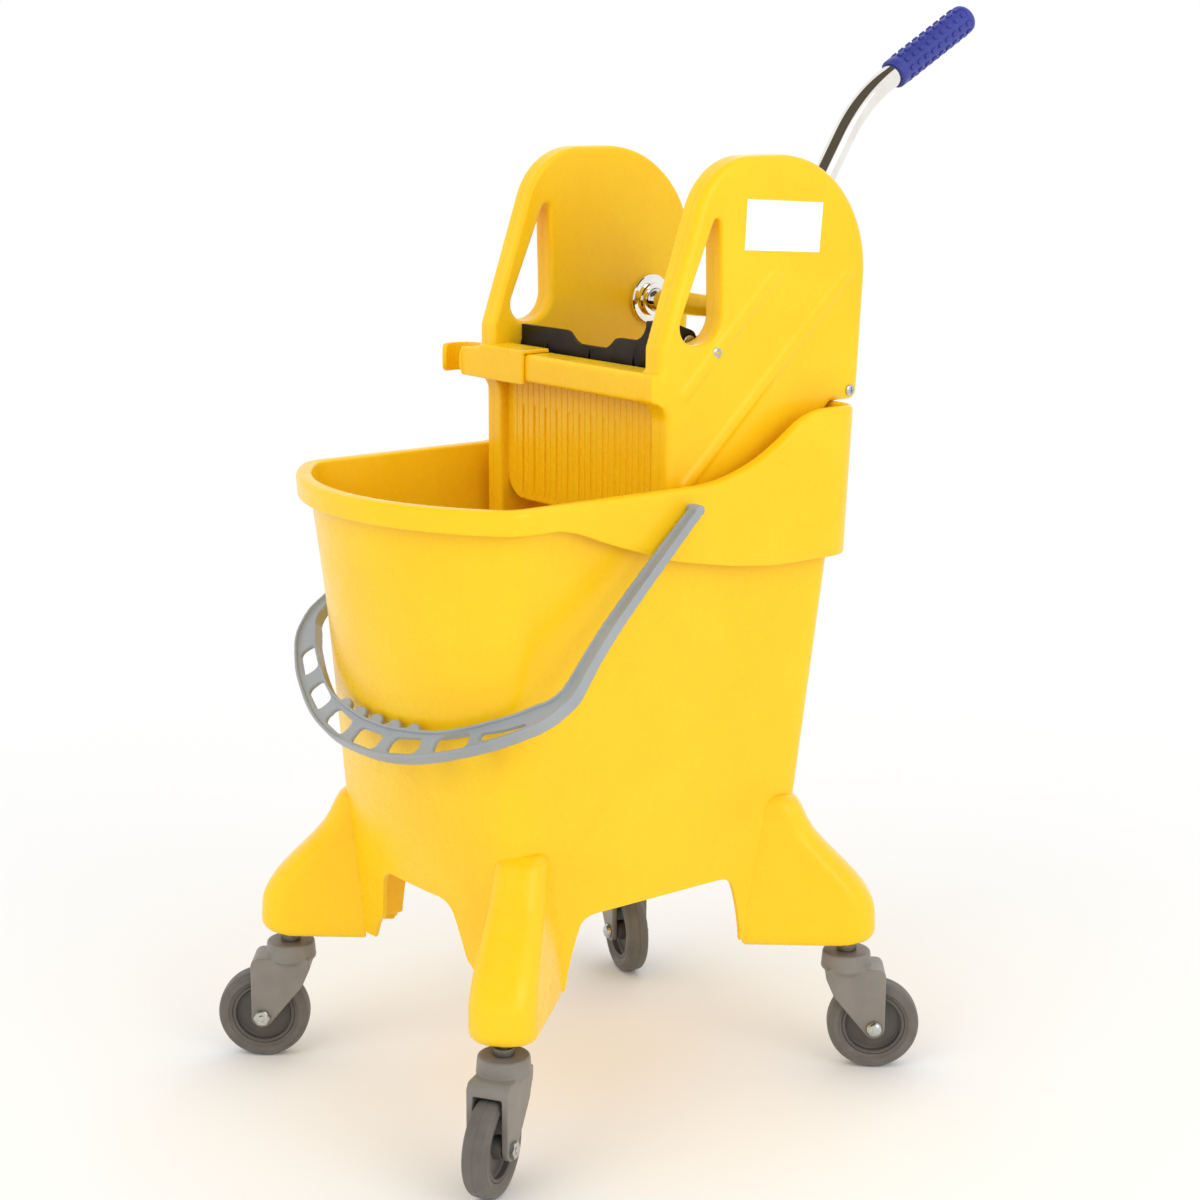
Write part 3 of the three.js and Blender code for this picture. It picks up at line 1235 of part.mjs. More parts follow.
// Set the object on the centre of its footprint.
bucketAndWringer.updateMatrixWorld(true);
const extent = new THREE.Box3().setFromObject(bucketAndWringer);
const middle = extent.getCenter(new THREE.Vector3());
bucketAndWringer.position.set(-middle.x, -middle.y, -extent.min.z);
bucketAndWringer.updateMatrixWorld(true);

export default bucketAndWringer;
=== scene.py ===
"""Looks of a mop bucket on casters with a down-press wringer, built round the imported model.

Sizes are in millimetres from the floor midway between the caster stems, as a drawing has them;
solid() turns them to metres in the model's frame.
"""

import json
from math import acos, atan, atan2, ceil, cos, pi, radians, sin, sqrt, tan

import bmesh
import bpy
from mathutils import Matrix, Vector


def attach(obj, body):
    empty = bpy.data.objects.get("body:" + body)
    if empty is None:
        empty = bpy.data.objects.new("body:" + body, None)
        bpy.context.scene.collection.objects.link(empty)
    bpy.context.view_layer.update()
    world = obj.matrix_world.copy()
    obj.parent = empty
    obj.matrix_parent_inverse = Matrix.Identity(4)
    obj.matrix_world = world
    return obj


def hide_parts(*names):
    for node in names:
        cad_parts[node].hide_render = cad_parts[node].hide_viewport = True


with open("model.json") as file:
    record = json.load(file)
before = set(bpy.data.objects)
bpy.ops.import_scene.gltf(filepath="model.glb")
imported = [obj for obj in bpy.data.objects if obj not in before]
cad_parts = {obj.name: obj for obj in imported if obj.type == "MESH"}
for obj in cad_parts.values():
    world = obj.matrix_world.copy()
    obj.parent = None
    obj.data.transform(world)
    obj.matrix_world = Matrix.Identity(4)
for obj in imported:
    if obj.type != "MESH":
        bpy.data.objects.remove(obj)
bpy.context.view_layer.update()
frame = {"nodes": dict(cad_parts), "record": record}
scene = bpy.context.scene
MM = 0.001
# each caster: its side, its end, and the heading of its wheel in degrees
CORNERS = {"front_left": (-1, -1, 231), "front_right": (1, -1, 301),
           "rear_right": (1, 1, 50), "rear_left": (-1, 1, -20)}
STEM_X, STEM_Y = 148.7, 173.6
# the model stands on the centre of its footprint; this takes the drawing's zero there
SHIFT = Vector((-0.352, -81.334, 0.0))


# ---------------- camera
EYE = (1476.8, -1141.6, 811.9)  # millimetres, from the drawing's zero
YAW, DOWN, ROLL = 51.52, 12.74, 0.29  # degrees
FOCAL_PIXELS, PICTURE_PIXELS, SENSOR = 2405.6, 1200.0, 36.0


def set_camera():
    data = bpy.data.cameras.new("studio_camera")
    data.sensor_width = SENSOR
    data.lens = FOCAL_PIXELS / PICTURE_PIXELS * SENSOR
    data.clip_start, data.clip_end = 0.05, 60.0
    camera = link(data, "studio_camera")
    camera.matrix_world = (posed((Vector(EYE) + SHIFT) * MM, radians(YAW), "Z")
                           @ Matrix.Rotation(radians(90 - DOWN), 4, "X")
                           @ Matrix.Rotation(radians(ROLL), 4, "Z"))
    scene.camera = camera


# ---------------- materials
def linear(hex_colour):
    """An sRGB hex colour as the linear colour that a shader takes."""
    parts = [int(hex_colour[i:i + 2], 16) / 255 for i in (1, 3, 5)]
    return (*(p / 12.92 if p <= 0.04045 else ((p + 0.055) / 1.055) ** 2.4 for p in parts), 1.0)


def add(tree, kind, sockets=None, **settings):
    """Adds a node, sets what it is, and fills or links its sockets; a node given to a socket
    stands for its first output."""
    node = tree.nodes.new(kind)
    for name, value in settings.items():
        setattr(node, name, value)
    for name, value in (sockets or {}).items():
        if isinstance(value, bpy.types.Node):
            value = value.outputs[0]
        if isinstance(value, bpy.types.NodeSocket):
            tree.links.new(value, node.inputs[name])
        else:
            node.inputs[name].default_value = value
    return node


def new_material(name):
    material = bpy.data.materials.new(name)
    material.use_nodes = True
    material.node_tree.nodes.clear()
    return material, material.node_tree


SCUFF_MM = 14  # size of the scuffs that open and close the gloss


def coat(name, colours, noises, blend, rough, bump_height, sockets, dust=None):
    """A surface between two colours. Three noises drift the colour, the gloss and the relief;
    each is a size along the axes in millimetres, a detail and a roughness. Dust is a colour, the
    height it reaches in millimetres, and its most cover."""
    material, tree = new_material(name)
    place = add(tree, "ShaderNodeTexCoord").outputs["Object"]
    flow, scuffs, grain = (add(tree, "ShaderNodeTexNoise", {
        "Vector": add(tree, "ShaderNodeMapping", {
            "Vector": place, "Scale": [1 / (s * MM) for s in size]}),
        "Scale": 1.0, "Detail": detail, "Roughness": fall}) for size, detail, fall in noises)
    share = add(tree, "ShaderNodeMapRange", {
        "Value": flow, "From Min": blend[0], "From Max": blend[1]})
    base = add(tree, "ShaderNodeMix", {0: share, 6: linear(colours[0]), 7: linear(colours[1])},
               data_type="RGBA").outputs[2]
    gloss = add(tree, "ShaderNodeMapRange", {
        "Value": scuffs, "From Min": 0.35, "From Max": 0.7, "To Min": rough[0],
        "To Max": rough[1]})
    if dust:
        dust_colour, dust_reach, dust_cover = dust
        height = add(tree, "ShaderNodeSeparateXYZ", {"Vector": place}).outputs["Z"]
        low = add(tree, "ShaderNodeMapRange", {
            "Value": height, "From Max": dust_reach * MM, "To Min": 1.0, "To Max": 0.0})
        speck = add(tree, "ShaderNodeMath", {0: low, 1: scuffs}, operation="MULTIPLY")
        cover = add(tree, "ShaderNodeMapRange", {
            "Value": speck, "From Min": 0.1, "From Max": 0.7, "To Max": dust_cover})
        base = add(tree, "ShaderNodeMix", {0: cover, 6: base, 7: linear(dust_colour)},
                   data_type="RGBA").outputs[2]
    if bump_height:
        sockets["Normal"] = add(tree, "ShaderNodeBump", {
            "Height": grain, "Strength": 1.0, "Distance": bump_height * MM})
    shader = add(tree, "ShaderNodeBsdfPrincipled", {
        "Base Color": base, "Roughness": gloss, **sockets})
    add(tree, "ShaderNodeOutputMaterial", {"Surface": shader})
    return material


def moulded(name, colour, deep, rough, grain_mm, grain_height, mottle_mm=60, rough_swing=0.06,
            spec=0.5, dust=None):
    """A moulded plastic: colour that drifts where the melt flowed, and a fine mould grain."""
    noises = [((size,) * 3, detail, fall) for size, detail, fall in
              ((mottle_mm, 3.0, 0.55), (SCUFF_MM, 2.0, 0.5), (grain_mm, 2.0, 0.5))]
    return coat(name, (colour, deep), noises, (0.35, 0.68),
                (rough - rough_swing / 2, rough + rough_swing), grain_height,
                {"IOR": 1.49, "Specular IOR Level": spec}, dust)


def plated(name, colour, dark, rough, streak_mm, rough_swing, bump_height=0.0):
    """A plated metal: a mirror with faint polishing marks that open the gloss."""
    return coat(name, (colour, dark), [(streak_mm, 4.0, 0.6)] * 3, (0.4, 0.75),
                (rough, rough + rough_swing), bump_height, {"Metallic": 1.0})


# polypropylene: an even satin gloss, a touch more matt where it is filled grey
YELLOW = moulded("moulded_polypropylene_yellow", "#FFD01A", "#FEC912", 0.27, 4.0, 0.012,
                 mottle_mm=90, spec=0.32, dust=("#CFA92B", 170, 0.15))
GREY = moulded("moulded_polypropylene_grey", "#A3A8AB", "#999FA3", 0.4, 1.4, 0.01)
# glass-filled nylon with faint flow marks; the hubs get a darker copy of it, which is painted shade
# for their deep recess
NYLON = moulded("moulded_nylon_caster_grey", "#88827A", "#7E7870", 0.42, 1.2, 0.01, mottle_mm=25)
NYLON_PAINTED_SHADE = moulded("moulded_nylon_hub_painted_shade", "#5C5750", "#524D47", 0.45, 1.2, 0.01, mottle_mm=25)
# rubber tread: dull, and dusty where it rolls
RUBBER = moulded("thermoplastic_rubber_grey", "#6A655E", "#605B54", 0.5, 0.9, 0.02, mottle_mm=18,
                 rough_swing=0.1, dust=("#8B857D", 12, 0.5))
# recycled black-brown polypropylene, and soft vinyl of a low sheen
BLACK = moulded("moulded_polypropylene_black", "#1F150A", "#171008", 0.4, 1.4, 0.012, spec=0.25)
VINYL = moulded("moulded_vinyl_blue", "#363E9B", "#30378E", 0.42, 0.9, 0.012, mottle_mm=30)
# chrome: a clean mirror with fine marks along the tube; zinc is blurrier, and dulled
# to a warm dark grey on the stems
CHROME = plated("polished_chrome_plate", "#F1EEE8", "#E6E1D8", 0.04, streak_mm=(3, 12, 12),
                rough_swing=0.03)
ZINC = plated("bright_zinc_plate", "#C9CBC9", "#A9ABA8", 0.2, streak_mm=(1.5, 1.5, 1.5),
              rough_swing=0.12, bump_height=0.002)
DULL_ZINC = plated("dulled_zinc_plate", "#8B857B", "#6C675F", 0.34, streak_mm=(2, 2, 2),
                   rough_swing=0.12, bump_height=0.002)
# coated label stock
LABEL = moulded("coated_label_paper", "#FCFCFA", "#F8F8F6", 0.5, 0.5, 0.002, mottle_mm=12)


# ---------------- making and finishing solids
def link(data, name):
    piece = bpy.data.objects.new(name, data)
    scene.collection.objects.link(piece)
    return piece


def give(piece, slot, material, *nodes, body=None):
    """Finishes a piece: its material, the body it rides on, and the CAD parts it stands for, which
    it hides. The slot is not used.
    """
    piece.data.materials.clear()
    piece.data.materials.append(material)
    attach(piece, body or BODY_OF[nodes[0]])
    if nodes:
        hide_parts(*nodes)
    return piece


BODY_OF = {node: body for body, nodes in frame["record"]["behaviour"]["bodies"].items()
           for node in nodes}


WELD, CAD_WELD = 4e-6, 1e-5  # metres, within which two points are one
AXIS_RADIUS = 0.01  # radius of the ring that stands for a point on the axis


def posed(spot, turn, axis):
    return Matrix.Translation(spot) @ Matrix.Rotation(turn, 4, axis)


def solid(name, points, faces, place=None):
    """A closed mesh object from points in millimetres, with its faces turned outwards."""
    mesh = bpy.data.meshes.new(name)
    if place is not None:
        points = [place @ Vector(p) for p in points]
    mesh.from_pydata([(Vector(p) + SHIFT) * MM for p in points], [], faces)
    bm = bmesh.new()
    bm.from_mesh(mesh)
    bmesh.ops.remove_doubles(bm, verts=bm.verts, dist=WELD)
    bmesh.ops.recalc_face_normals(bm, faces=bm.faces)
    bm.to_mesh(mesh)
    bm.free()
    return link(mesh, name)


def loft(name, rings, closed=False, place=None):
    """Skins a stack of equal rings; caps both ends unless the stack closes on itself."""
    count = len(rings[0])
    points = [p for ring in rings for p in ring]
    faces = []
    for r in range(len(rings) if closed else len(rings) - 1):
        a, b = r * count, ((r + 1) % len(rings)) * count
        faces += [(a + i, a + (i + 1) % count, b + (i + 1) % count, b + i) for i in range(count)]
    if not closed:
        faces.append(tuple(reversed(range(count))))
        faces.append(tuple(len(points) - count + i for i in range(count)))
    return solid(name, points, faces, place)


def prism(name, outline, low, high, axis="X", place=None):
    """An outline drawn out: (y, z) along X, (x, z) along Y or (x, y) along Z."""
    spot = {"X": lambda u, v, w: (w, u, v), "Y": lambda u, v, w: (u, w, v),
            "Z": lambda u, v, w: (u, v, w)}[axis]
    return loft(name, [[spot(u, v, w) for u, v in outline] for w in sorted((low, high))],
                place=place)


def oblong(x, y):
    return [(x[0], y[0]), (x[1], y[0]), (x[1], y[1]), (x[0], y[1])]


def block(name, x, y, z):
    return prism(name, oblong(x, y), *z, "Z")


def arc(cu, cv, radius, start, end, steps):
    return [(cu + radius * cos(start + (end - start) * i / steps),
             cv + radius * sin(start + (end - start) * i / steps)) for i in range(steps + 1)]


def circle(cu, cv, radius, sides=48):
    return arc(cu, cv, radius, 0, 2 * pi * (1 - 1 / sides), sides - 1)


def bar(name, radius, x0, x1, y, z, sides=48):
    return prism(name, circle(y, z, radius, sides), x0, x1, "X")


def turned(name, profile, sides=64, place=None):
    """Revolves (radius, height) points round Z; a profile off the axis closes on itself."""
    closed = profile[0][0] > 0 or profile[-1][0] > 0
    turns = [2 * pi * i / sides for i in range(sides)]
    rings = [[(max(r, AXIS_RADIUS) * cos(t), max(r, AXIS_RADIUS) * sin(t), h)
              for t in turns] for r, h in profile]
    return loft(name, rings, closed, place)


def rounded(corners, fine=1.6):
    """Rounds a polygon's corners, each (u, v, radius), in steps of about the fine length."""
    out = []
    for i, (u, v, radius) in enumerate(corners):
        if not radius:
            out.append((u, v))
            continue
        spot = Vector((u, v))
        a = (Vector(corners[i - 1][:2]) - spot).normalized()
        b = (Vector(corners[(i + 1) % len(corners)][:2]) - spot).normalized()
        half = acos(max(-1.0, min(1.0, a.dot(b)))) / 2
        reach = radius / tan(half)
        centre = spot + (a + b).normalized() * (radius / sin(half))
        start, end = spot + a * reach - centre, spot + b * reach - centre
        sweep = atan2(start.x * end.y - start.y * end.x, start.dot(end))
        steps = max(3, ceil(abs(sweep) * radius / fine))
        for k in range(steps + 1):
            c, s = cos(sweep * k / steps), sin(sweep * k / steps)
            out.append((centre.x + start.x * c - start.y * s, centre.y + start.x * s + start.y * c))
    return out


def inset(outline, distance):
    """Moves a dense outline inwards by a distance, or outwards by a negative one."""
    count = len(outline)
    area = sum(u * outline[(i + 1) % count][1] - outline[(i + 1) % count][0] * v
               for i, (u, v) in enumerate(outline))
    turn = 1 if area > 0 else -1
    out = []
    for i, (u, v) in enumerate(outline):
        a = (Vector((u, v)) - Vector(outline[i - 1])).normalized()
        b = (Vector(outline[(i + 1) % count]) - Vector((u, v))).normalized()
        normal = Vector((-(a.y + b.y), a.x + b.x)).normalized() * turn
        spread = max(0.5, turn * (normal.x * -a.y + normal.y * a.x))
        out.append((u + normal.x * distance / spread, v + normal.y * distance / spread))
    return out


def glide(table, t):
    """Reads a table of (place, value) pairs along a smooth curve that never overshoots."""
    if t <= table[0][0]:
        return table[0][1]
    if t >= table[-1][0]:
        return table[-1][1]
    slopes = [(b[1] - a[1]) / (b[0] - a[0]) for a, b in zip(table, table[1:])]
    i = max(k for k, (place, _) in enumerate(table) if place <= t)
    tangents = []
    for k in (i, i + 1):
        before, after = slopes[max(k - 1, 0)], slopes[min(k, len(slopes) - 1)]
        tangents.append(0.0 if before * after <= 0 else 2 * before * after / (before + after))
    width = table[i + 1][0] - table[i][0]
    s = (t - table[i][0]) / width
    return ((1 + 2 * s) * (1 - s) ** 2 * table[i][1] + s * (1 - s) ** 2 * width * tangents[0]
            + s * s * (3 - 2 * s) * table[i + 1][1] + s * s * (s - 1) * width * tangents[1])


def through(points, steps=6):
    """A smooth open line through its points."""
    ends = [2 * Vector(points[0]) - Vector(points[1]), *map(Vector, points),
            2 * Vector(points[-1]) - Vector(points[-2])]
    out = []
    for a, b, c, d in zip(ends, ends[1:], ends[2:], ends[3:]):
        for k in range(steps):
            t = k / steps
            out.append(tuple(0.5 * (2 * b + (c - a) * t + (2 * a - 5 * b + 4 * c - d) * t * t
                                    + (3 * b - a - 3 * c + d) * t ** 3)))
    return [*out, tuple(points[-1])]


def applied(piece):
    """Turns a piece's modifiers into plain mesh and takes the modifiers off."""
    mesh = bpy.data.meshes.new_from_object(
        piece.evaluated_get(bpy.context.evaluated_depsgraph_get()))
    old = piece.data
    piece.modifiers.clear()
    piece.data = mesh
    bpy.data.meshes.remove(old)
    return piece


def modified(piece, name, kind, **settings):
    """Hangs a modifier on a piece."""
    change = piece.modifiers.new(name, kind)
    for key, value in settings.items():
        setattr(change, key, value)
    return change


def work(piece, *steps):
    """Joins ("UNION") to a solid, or cuts from it ("DIFFERENCE"), each tool in turn."""
    for operation, tool in steps:
        modified(piece, "work", "BOOLEAN", operation=operation, solver="MANIFOLD", object=tool)
    applied(piece)
    for _, tool in steps:
        mesh = tool.data
        bpy.data.objects.remove(tool)
        bpy.data.meshes.remove(mesh)
    return piece


def cut(piece, *tools):
    return work(piece, *(("DIFFERENCE", tool) for tool in tools))


def join(piece, *tools):
    return work(piece, *(("UNION", tool) for tool in tools))


def soften(piece, grain, passes):
    """One even skin with all edges and inner corners rounded, as a mould leaves them: rebuilt on
    a grid of this grain in millimetres, then smoothed."""
    modified(piece, "even_skin", "REMESH", mode="VOXEL", voxel_size=grain * MM)
    modified(piece, "rounded_edges", "SMOOTH", factor=0.5, iterations=passes)
    applied(piece)
    piece.data.shade_smooth()
    return piece


def crisp(piece, angle, edge=0.0):
    """Smooth faces with sharp edges over an angle, or with those edges rounded off."""
    piece.data.shade_smooth()
    if edge:
        modified(piece, "rounded_edges", "BEVEL", width=edge * MM, segments=3,
                 limit_method="ANGLE", angle_limit=radians(angle), harden_normals=True,
                 miter_outer="MITER_ARC")
        applied(piece)
    else:
        piece.data.set_sharp_from_angle(angle=radians(angle))
    return piece


def skin(node, slot, material, edge):
    """A closed copy of a CAD solid with its hard edges rounded."""
    mesh = frame["nodes"][node].data.copy()
    mesh.name = node + "_skin"
    bm = bmesh.new()
    bm.from_mesh(mesh)
    bmesh.ops.remove_doubles(bm, verts=bm.verts, dist=CAD_WELD)
    bmesh.ops.dissolve_degenerate(bm, dist=CAD_WELD, edges=bm.edges)
    bmesh.ops.dissolve_limit(bm, angle_limit=radians(0.5), verts=bm.verts, edges=bm.edges)
    bm.to_mesh(mesh)
    bm.free()
    return give(crisp(link(mesh, node + "_skin"), 28.0, edge), slot, material, node)


# ---------------- bucket
WALL, FLOOR, APRON, ARCH_FOOT, TOP = 3.5, 190.0, 116.0, 126.0, 553.0
# the shell is ruled between two plans, PLAN_RISE apart: at each, half the width, the reach of the
# nose and of the rear, and the radius of the bowed nose
PLAN_LOW, PLAN_RISE = 180, 300
HALF_WIDTH, NOSE, REAR, BOW = (116, 132), (150, 204), (141, 171), (700, 188)
NOSE_CORNER, REAR_CORNER = 25, 15
# the collar's low level, and how far it stands off the wall there and at the top
COLLAR_LOW, OFF_LOW, OFF_TOP = 424.0, 14, 5
# height, climb, start and run of the rim and of the collar's lower edge along the bucket
RIM_LOW, RIM_CLIMB, RIM_START, RIM_RUN = 499, 48, 16, 165
EDGE_LOW, EDGE_CLIMB, EDGE_START, EDGE_RUN = 430, 51, 181, 297
RIM_RISE = [(0, 0), (0.12, 0.04), (0.235, 0.14), (0.36, 0.31), (0.48, 0.56), (0.605, 0.87),
            (0.7, 0.98), (0.8, 1), (1, 1)]
COLLAR_EDGE = [(0, 0), (0.25, 0), (0.4, 0.07), (0.54, 0.2), (0.645, 0.32), (0.745, 0.5),
               (0.875, 0.76), (0.95, 0.93), (1, 1)]
RIM_ROLL, FILLET = 4.5, 12.0  # radii of the rolled rim and of the basin's foot
BURIED = -1.7  # how deep legs and ledges are sunk in the shell's wall
LEDGE = [(102, 441.7), (102, 438.2), (132, 403.7), (132, 441.7)]
# the arches between the legs: half an outline as shares, then its half width, rise, reach, axis
ARCHES = (([(1.03, -0.4), (1, 0), (0.955, 0.4), (0.89, 0.78), (0.85, 0.91), (0.78, 0.98),
            (0.7, 1)], 88, 48, 220, "X"),
          ([(1.2, -0.4), (1, 0.07), (0.88, 0.21), (0.82, 0.42), (0.76, 0.68), (0.7, 0.87),
            (0.6, 0.97), (0.49, 1)], 67, 57, 240, "Y"))


def mix(a, b, share):
    return a + (b - a) * share


def plan(share, offset):
    """Outline of the shell at the lower plan (share 0) or the upper (1), grown by an offset."""
    half, nose, rear, bow = (mix(*pair, share) + offset for pair in (HALF_WIDTH, NOSE, REAR, BOW))
    front, back = max(NOSE_CORNER + offset, 3), max(REAR_CORNER + offset, 2)
    bow_y = bow - nose
    corner_x = half - front
    corner_y = bow_y - sqrt((bow - front) ** 2 - corner_x ** 2)
    meet = atan2(corner_y - bow_y, corner_x)
    side = [(half, mix(corner_y, rear - back, k / 40)) for k in range(1, 40)]
    right = [*arc(0, bow_y, bow, -pi / 2, meet, 18),
             *arc(corner_x, corner_y, front, meet, 0, 12)[1:],
             *side, *arc(half - back, rear - back, back, 0, pi / 2, 8)]
    return right + [(-x, y) for x, y in reversed(right[1:])]


def ruled(low, high, level, rise, heights):
    """The ring at these heights on the straight lines from a low outline to a high one."""
    shares = [(z - level) / rise for z in heights]
    return [(mix(a[0], b[0], s), mix(a[1], b[1], s), z)
            for a, b, s, z in zip(low, high, shares, heights)]


def wall_row(offset, heights):
    """One ring of the ruled shell; the heights are one number or one for each column."""
    low, high = plan(0, offset), plan(1, offset)
    heights = heights if isinstance(heights, list) else [heights] * len(low)
    return ruled(low, high, PLAN_LOW, PLAN_RISE, heights)


def collar_row(inside, heights):
    """One ring of the upright collar, this far in from its outer face."""
    low, high = wall_row(OFF_LOW - inside, COLLAR_LOW), wall_row(OFF_TOP - inside, TOP)
    return ruled(low, high, COLLAR_LOW, TOP - COLLAR_LOW, heights)


def shell_block(offset, low, high):
    return loft("shell_block", [wall_row(offset, low), wall_row(offset, high)])


def arches():
    """Cutters for the arches between the legs, from side to side and from end to end."""
    cutters = []
    for shares, half, rise, reach, axis in ARCHES:
        right = through([(half * a, ARCH_FOOT + rise * b) for a, b in shares], 4)
        outline = right + [(-u, v) for u, v in reversed(right)]
        cutters.append(prism("arch", outline, -reach, reach, axis))
    return cutters


def lower(row, by):
    return [z - by for z in row]


def between(first, last, share):
    return [mix(a, b, share) for a, b in zip(first, last)]


def bucket_shell():
    """One profile carried round the plan: skirt, wall, collar, rolled rim, inner wall, floor."""
    along = [y for _, y, _ in wall_row(0, PLAN_LOW + PLAN_RISE)]
    rim = [RIM_LOW + RIM_CLIMB * glide(RIM_RISE, (y - RIM_START) / RIM_RUN) for y in along]
    edge = [EDGE_LOW + EDGE_CLIMB * glide(COLLAR_EDGE, (EDGE_START - y) / EDGE_RUN)
            for y in along]
    base, inner_foot = [APRON] * len(rim), [FLOOR + FILLET] * len(rim)
    twelfths = [pi / 12 * k for k in range(1, 7)]
    rows = [wall_row(-WALL, FLOOR - WALL), wall_row(-WALL, APRON + 1.2),
            wall_row(-WALL + 1.2, APRON), wall_row(-1.2, APRON), wall_row(0, APRON + 1.2)]
    rows += [wall_row(0, between(base, lower(rim, WALL + 2), k / 14)) for k in range(1, 15)]
    rows += [wall_row(0.6, lower(rim, WALL + 0.6)), wall_row(2, lower(rim, WALL))]
    under, hem = lower(rim, WALL + 0.8), lower(edge, -1)
    rows += [collar_row(3, between(under, hem, k / 5)) for k in range(6)]
    rows += [collar_row(inside, lower(edge, -up)) for inside, up in
             ((2.6, 0.3), (1.9, 0), (1.1, 0), (0.4, 0.3), (0, 1))]
    rows += [collar_row(0, between(hem, lower(rim, RIM_ROLL), k / 8)) for k in range(1, 9)]
    rows += [collar_row(RIM_ROLL * (1 - cos(a)), lower(rim, RIM_ROLL * (1 - sin(a))))
             for a in twelfths]
    rows += [wall_row(-1 - 2.5 * sin(a), lower(rim, 2.5 * (1 - cos(a))))
             for a in (pi / 8 * k for k in range(5))]
    rows += [wall_row(-WALL, between(lower(rim, 2.5), inner_foot, k / 12)) for k in range(1, 13)]
    rows += [wall_row(-WALL - FILLET * (1 - cos(a)), FLOOR + FILLET * (1 - sin(a)))
             for a in twelfths]
    shell = loft("bucket_shell", rows)
    cut(shell, *arches())
    for side in (-1, 1):
        ledge = prism("ledge", [(side * x, z) for x, z in LEDGE], 33, 63, "Y")
        work(ledge, ("INTERSECT", shell_block(BURIED, 300.0, 500.0)))
        join(shell, ledge)
    return crisp(shell, 40)


# a leg from its foot to its top: reach from the stem and width, as shares of the foot's
LEG_REACH = [(0, 0.52), (0.026, 0.83), (0.077, 1), (0.23, 0.956), (0.34, 0.71), (0.772, -1.38),
             (0.953, -1.91), (1, -2.3)]
LEG_WIDTH = [(0, 0.84), (0.026, 0.95), (0.077, 1), (0.23, 1), (0.34, 0.97), (0.772, 0.82),
             (0.953, 0.755), (1, 0.6)]
LEG_LOW, LEG_HIGH = 110.0, 234.0
FOOT_REACH, FOOT_WIDTH, FOOT_CORNER, LEG_ROOT = 22.5, 51.5, 21, -104
LEG_RINGS = (0, 0.012, 0.026, 0.045, 0.077, 0.12, 0.17, 0.23, 0.27, 0.31, 0.36, 0.42, 0.5, 0.58,
             0.66, 0.74, 0.82, 0.9, 0.953, 0.98, 1)


def stem_place(sx, sy, turn):
    """A corner's stem, where it stands over the floor, turned about itself."""
    return posed((sx * STEM_X, sy * STEM_Y, 0), turn, "Z")


def leg_block(place, offset, foot, drop):
    """A leg's outer form, shrunk by an offset: a rounded foot that leans back to the shell."""
    rings = []
    for share in LEG_RINGS:
        z = foot if share == 0 else mix(LEG_LOW, LEG_HIGH, share) - drop
        reach = FOOT_REACH * glide(LEG_REACH, share) - offset
        half = FOOT_WIDTH * glide(LEG_WIDTH, share) / 2 - offset
        corner = min(FOOT_CORNER, half - 3)
        outline = [(LEG_ROOT, -half),
                   *arc(reach - corner, -half + corner, corner, -pi / 2, 0, 7),
                   *arc(reach - corner, half - corner, corner, 0, pi / 2, 7),
                   (LEG_ROOT, half)]
        rings.append([(u, v, z) for u, v in outline])
    return loft("leg_block", rings, place=place)


def bucket_leg(name, sx, sy):
    """A hollow leg with a ribbed socket for its stem, let into the shell."""
    place = stem_place(sx, sy, atan2(sy * STEM_Y, sx * STEM_X))
    leg = leg_block(place, 0, LEG_LOW, 0)
    cut(leg, leg_block(place, WALL, LEG_LOW - 6, WALL))
    core = prism("socket", circle(0, 0, 13, 32), LEG_LOW + 0.2, 156.7, "Z", place)
    join(core, prism("web", oblong((-1.5, 1.5), (-51, 51)), LEG_LOW + 0.2, LEG_HIGH, "Z", place))
    work(core, ("INTERSECT", leg_block(place, 1.5, LEG_LOW, 0)))
    join(leg, core)
    cut(leg, shell_block(BURIED, 90.0, 187.0), shell_block(BURIED, 186.9, 260.0), *arches(),
        prism("stem_bore", circle(0, 0, 5.8, 24), 90, 145, "Z", place))
    leg.name = "bucket_leg_" + name
    return soften(leg, 1.35, 5)


# ---------------- wringer
CHEEK_IN, CHEEK_OUT, PARTING, CHEEK_WALL = 95.4, 116.5, 105.95, 3.0
FRONT, STEP, DEPTH, KNEE, CHEEK_TOP, CHEEK_FOOT = -2.5, 6.5, 207.5, 600.0, 740.0, 442.0
LIP_TOP, LIP_LOW, LIP_FRONT = 582.0, 560.0, 11.0
REST, FOOT_END = 547.3, 200.5
SHAFT = (160.0, 612.0)
ROUGH = 3.0  # what each half keeps past the parting until it is trimmed
WIDE, BASKET_LOW, CORNER = CHEEK_IN + 1.5, 459, 22
GROOVE_HALF, GROOVE_PLACES = 1.5, [(i - 5) * 15.0 for i in range(11)]
SCREW_SPOTS = ((50.6, 594.7), (190.9, 555.1), (59.75, 466.0))
RIB_SPOTS = (((0.537, 0.698), (0.108, 0.413)), ((0.918, 0.695), (0.118, 0.181)))


def cheek_outline():
    """Side view: raked front, round shoulders, a foot on the rear rim, a leg inside."""
    rise = CHEEK_TOP - KNEE
    upper = [(FRONT + DEPTH * y, KNEE + rise * z, DEPTH * r)
             for y, z, r in ((0, 0, 0.05), (0.236, 1, 0.27), (1.028, 1, 0.44))]
    return rounded([(FRONT + STEP, CHEEK_FOOT, 4), (FRONT + STEP, 549, 9), (FRONT, 559, 9), *upper,
                    (FOOT_END, REST, 8), (172, REST, 1), (163, 538.3, 3), (121, CHEEK_FOOT, 16)])


def slot_outline():
    rise = CHEEK_TOP - KNEE
    return rounded([(FRONT + DEPTH * y, KNEE + rise * z, DEPTH * r) for y, z, r in
                    ((0.27, 0.757, 0.016), (0.284, 0.014, 0.105), (0.052, 0.009, 0.068))], 1.0)


